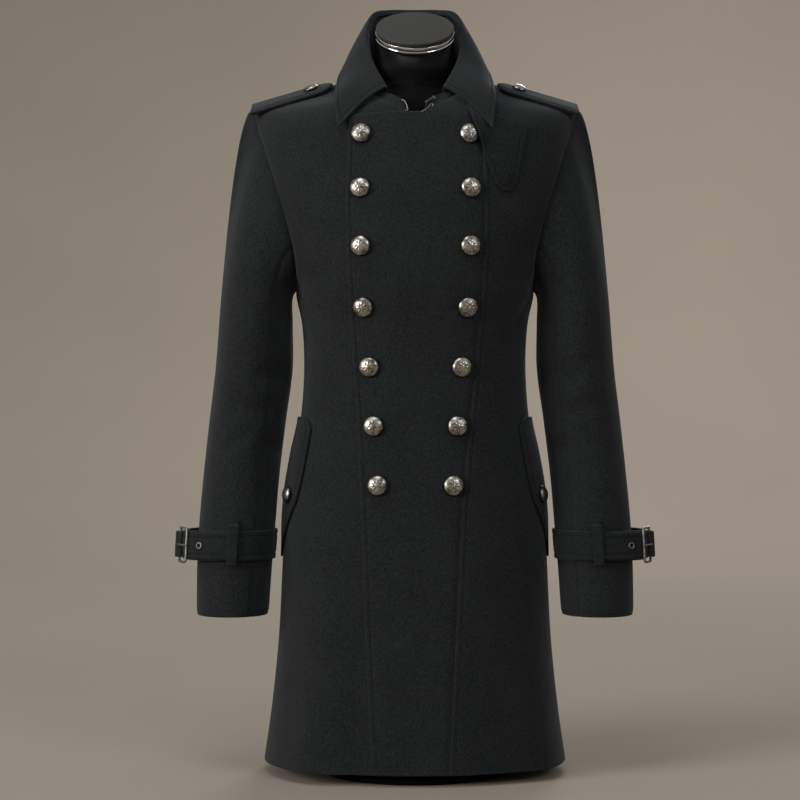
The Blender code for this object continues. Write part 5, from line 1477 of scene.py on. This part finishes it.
def torso_rings():
    """Sections of the form: rounded rectangles, straight between rows below the neck and splined above."""
    low = np.linspace(0.0, NECK_FROM, NECK_FROM * 4 + 1)
    straight = FormRow(*(np.interp(low, np.arange(len(FORM)), column) for column in zip(*FORM)))
    bent = read_rows(FORM, np.linspace(NECK_FROM, len(FORM) - 1.0, 41)[1:])
    row = FormRow(*(np.concatenate(pair)[:, None] for pair in zip(straight, bent)))
    turn = circle(96)
    middle = SIDE_Y + ((row.front + row.back) / 2 - SIDE_Y) * smooth(row.tilt / 0.06)
    sine = signed_power(np.sin(turn), 2.0 / row.square)
    x = row.half_width * signed_power(np.cos(turn), 2.0 / row.square)
    y = middle + np.where(sine < 0, middle - row.front, row.back - middle) * sine
    z = row.z + (y - middle) * row.tilt
    return np.stack([x, y, z], axis=-1)


rings = torso_rings()
points, faces = capped(rings[None], rings[0].mean(0)[None], rings[-1].mean(0)[None])
put("form_torso_shell", points, faces, GLOSS, "form_gloss", "form_torso")


# %% Turned parts of the stand
def turned(node, profile, place, axis, finish, slot, sides=96, rounding=0.0012):
    """Profile of radius and height pairs carried round an axis; corners are cut to a small round."""
    profile = np.asarray(profile, float)
    before = unit(np.roll(profile, 1, 0) - profile)[1:-1]
    after = unit(np.roll(profile, -1, 0) - profile)[1:-1]
    share = np.linspace(0.0, 1.0, 5)[None, :, None]
    corner = profile[1:-1, None]
    soft = corner + rounding * ((1 - share) ** 2 * before[:, None] + share ** 2 * after[:, None])
    rows = np.concatenate([profile[:1], soft.reshape(-1, 2), profile[-1:]])
    axis = unit(np.asarray(axis, float))
    first, second = square_to(axis)
    turn = circle(sides)[:, None]
    ring = first * np.cos(turn) + second * np.sin(turn)
    inner = rows[1:-1]
    rings = place + inner[:, :1, None] * ring + inner[:, 1:, None] * axis
    points, faces = capped(rings[None], (place + axis * rows[0, 1])[None], (place + axis * rows[-1, 1])[None])
    return put(node + "_turned", points, faces, finish, slot, node)


start = SEAM
end = SEAM + NECK_RING_HEIGHT
groove = start + NECK_RING_HEIGHT * 0.45
turned("form_neck_ring", [(0, start), (NECK_RING_RADIUS - 0.001, start), (NECK_RING_RADIUS, groove - 0.001),
                          (NECK_RING_RADIUS - 0.0012, groove), (NECK_RING_RADIUS, groove + 0.001),
                          (NECK_RING_RADIUS, end), (0, end)],
       NECK_TOP, NECK_AXIS, CHROME, "form_chrome", rounding=0.0006)
start = 2 * SEAM + NECK_RING_HEIGHT
end = start + NECK_CAP_HEIGHT
turned("form_neck_cap", [(0, start), (NECK_CAP_RADIUS, start), (NECK_CAP_RADIUS, end), (0, end)],
       NECK_TOP, NECK_AXIS, DISC, "form_chrome", rounding=0.0018)
low = BASE_THICK + SEAM
high = FORM[0].z - SEAM
turned("form_pole", [(0, low), (POLE_RADIUS, low), (POLE_RADIUS, high), (0, high)],
       np.zeros(3), UP, CHROME, "form_chrome", rounding=0.0008)
turned("form_base", [(0, 0), (BASE_RADIUS, 0), (BASE_RADIUS, BASE_THICK), (0, BASE_THICK)],
       np.zeros(3), UP, GLOSS, "form_gloss", rounding=0.0020)

# %% [markdown]
# ## Stitching
# Topstitching holds the turned edges flat. Each stitch is a short spindle of thread that dips into the
# cloth at both ends. Rows of them follow the grooves that the edge profile left, so the paths are read
# from the grids of the pieces themselves.


# %% Rows of stitches
STITCH_PITCH = 0.0040
STITCH_LENGTH = 0.0031
STITCH_RADIUS = 0.00042


def inset_path(grid, out, edge, inset=WELT_INSET):
    """Points on a grid at an inset from one of its edges, with the directions out there."""
    from_edge = slice(None, None, -1 if edge % 2 else 1)
    turned_grid, turned_out = (np.moveaxis(each, edge // 2, 0)[from_edge] for each in (grid, out))
    apart = runs(turned_grid)
    row = np.argmin(np.abs(apart - inset), axis=0)
    column = np.arange(turned_grid.shape[1])
    return turned_grid[row, column], turned_out[row, column]


def stitch_row(path, out, ends=WELT_INSET):
    """Spindles along a path: rings of thread whose middle is raised and whose ends are sunk."""
    run = runs(path)
    starts = np.arange(ends, run[-1] - ends - STITCH_LENGTH, STITCH_PITCH)
    along = np.linspace(0.0, 1.0, 5)
    place = starts[:, None] + along * STITCH_LENGTH

    def at(values):
        return np.stack([np.interp(place, run, values[:, axis]) for axis in range(3)], axis=-1)

    normal = unit(at(out))
    centre = at(path) + normal * (STITCH_RADIUS * (2.2 * np.sin(math.pi * along) - 0.9))[:, None]
    ahead = unit(np.gradient(centre, axis=1))
    side = np.cross(ahead, normal)
    turn = circle(5)[:, None]
    thin = np.array([0.75, 1.0, 0.75])[:, None, None] * STITCH_RADIUS
    ring = side[:, 1:4, None] * np.cos(turn) + normal[:, 1:4, None] * np.sin(turn)
    return centre[:, 1:4, None] + thin * ring, centre[:, 0], centre[:, -1]


def stitching(name, rows):
    """One mesh of thread for several rows of stitches."""
    parts = [stitch_row(path, out) for path, out in rows]
    rings, start, end = (np.concatenate(each) for each in zip(*parts))
    points, faces = capped(rings, start, end)
    put(name, points, faces, THREAD, "wool_trim")
    return len(rings)


count = 0
grid, out = FRONTS["front_plastron"]
count += stitching("lap_edge_stitches", [inset_path(grid, out, 2)])
grid, out = FRONTS["front_left"]
below = LEVELS < NECK - 1
count += stitching("lap_seam_stitches", [inset_path(grid[below], out[below], 2)])
count += stitching("collar_stitches", [inset_path(FALL, FALL_OUT, edge) for edge in (1, 2, 3)])
count += stitching("throat_tab_stitches", [inset_path(TAB_GRID, TAB_OUT, edge) for edge in (2, 3)])
for side, word in SIDES:
    for kind, grid, edges in (("epaulette", EPAULETTES[word], (2, 3)),
                              ("pocket_flap", FLAPS[word], (0, 1, 2 if side > 0 else 3)),
                              ("strap_tongue", STRAPS[word], (0, 1))):
        rows = [inset_path(grid, facing(grid), edge) for edge in edges]
        count += stitching(f"{kind}_{word}_stitches", rows)
print("stitches:", count)

# %% Buttonhole in the throat tab
HOLE_CENTRE = (0.1195, 0.7855)
HOLE_HALF = (0.0022, 0.0085)
HOLE_SQUARE = 0.7
HOLE_LEAN = 0.25
HOLE_SUNK = 0.0002
HOLE_THREAD = 0.0007
turn = circle(60)
up = HOLE_HALF[1] * np.sin(turn)
hole_x = HOLE_CENTRE[0] + HOLE_HALF[0] * signed_power(np.cos(turn), HOLE_SQUARE) + HOLE_LEAN * up
hole_z = HOLE_CENTRE[1] + up
path, _ = front_place(hole_x, hole_z, tab_off(hole_x, hole_z) + 2 * CLOTH - HOLE_SUNK)
wire("throat_tab_buttonhole", path, HOLE_THREAD, THREAD, "wool_trim", True, 8, stands_for=False)

# %% [markdown]
# ## Floor, light and camera
# The coat stands on pale paper that sweeps up all round, so it can be seen from every side. One large
# soft lamp stands at the left, as the lit right front shows, with weaker ones opposite, above and far
# behind. The camera is level with the middle of the coat and far enough away for a long lens.


# %% Sweep of paper
def paper_finish():
    """Matt pale paper with the faintest cloud."""
    paper = Finish("pale paper", Roughness=0.95, Specular_IOR_Level=0.1)
    cloud = paper.noise(1.4, 2.0)
    paper.feed(Base_Color=paper.mix(cloud, (0.285, 0.250, 0.205, 1.0), (0.315, 0.278, 0.230, 1.0)))
    return paper.material


FLOOR_RADIUS = 3.4
SWEEP_RADIUS = 2.6
turn = np.linspace(0.0, math.pi / 2, 33)
reach = np.concatenate([[0.0, 0.3, 1.5], FLOOR_RADIUS + SWEEP_RADIUS * np.sin(turn)])[:, None]
height = np.concatenate([[0.0, 0.0, 0.0], SWEEP_RADIUS - SWEEP_RADIUS * np.cos(turn)])[:, None]
around = circle(96)
sweep = np.stack(np.broadcast_arrays(reach * np.cos(around), reach * np.sin(around), height), axis=-1)
points = np.concatenate([np.zeros((1, 3)), sweep[1:].reshape(-1, 3)])
spread = quads(len(sweep) - 1, len(around), True)[:, ::-1] + 1
first = np.arange(len(around))
middle = np.stack([np.zeros_like(first), 1 + first, 1 + (first + 1) % len(around)], -1)
floor = new_object("paper_sweep", points, spread.tolist() + middle.tolist(), paper_finish())
print("paper sweep:", len(points), "points")

# %% Lamps, sky and camera
Lamp = namedtuple("Lamp", "name place aim size power colour")
LAMPS = [
    Lamp("key_lamp", (-4.4, -2.9, 1.85), (0.0, 0.0, 1.5), 2.3, 222.0, (1.0, 0.98, 0.95)),
    Lamp("fill_lamp", (3.85, -4.5, 3.2), (0.0, 0.0, 0.5), 2.0, 84.0, (0.93, 0.97, 1.0)),
    Lamp("top_lamp", (-0.4, -0.9, 2.5), (0.0, 0.0, 0.9), 0.9, 10.0, (1.0, 1.0, 1.0)),
    Lamp("back_lamp", (1.2, 5.8, 3.2), (0.0, 0.0, 0.6), 2.0, 190.0, (1.0, 0.98, 0.96)),
]
for row in LAMPS:
    light = bpy.data.lights.new(row.name, "AREA")
    light.energy = row.power
    light.size = row.size
    light.color = row.colour
    lamp = bpy.data.objects.new(row.name, light)
    way = unit(np.array(row.aim) - np.array(row.place))
    flat = math.hypot(way[0], way[1])
    lamp.location = row.place
    lamp.visible_camera = False
    lamp.rotation_euler = (math.atan2(flat, -way[2]), 0.0, math.atan2(way[1], way[0]) - math.pi / 2)
    bpy.context.scene.collection.objects.link(lamp)

world = bpy.data.worlds.new("studio")
world.use_nodes = True
world.node_tree.nodes["Background"].inputs["Color"].default_value = (0.80, 0.80, 0.82, 1.0)
world.node_tree.nodes["Background"].inputs["Strength"].default_value = 0.50
bpy.context.scene.world = world
bpy.context.scene.view_settings.view_transform = "Standard"

camera = bpy.data.objects.new("camera", bpy.data.cameras.new("camera"))
camera.data.sensor_width = 36.0
camera.data.lens = 93.3
camera.location = (-0.020, -2.8, 0.498)
camera.rotation_euler = (math.pi / 2, 0.0, 0.0)
bpy.context.scene.collection.objects.link(camera)
bpy.context.scene.camera = camera
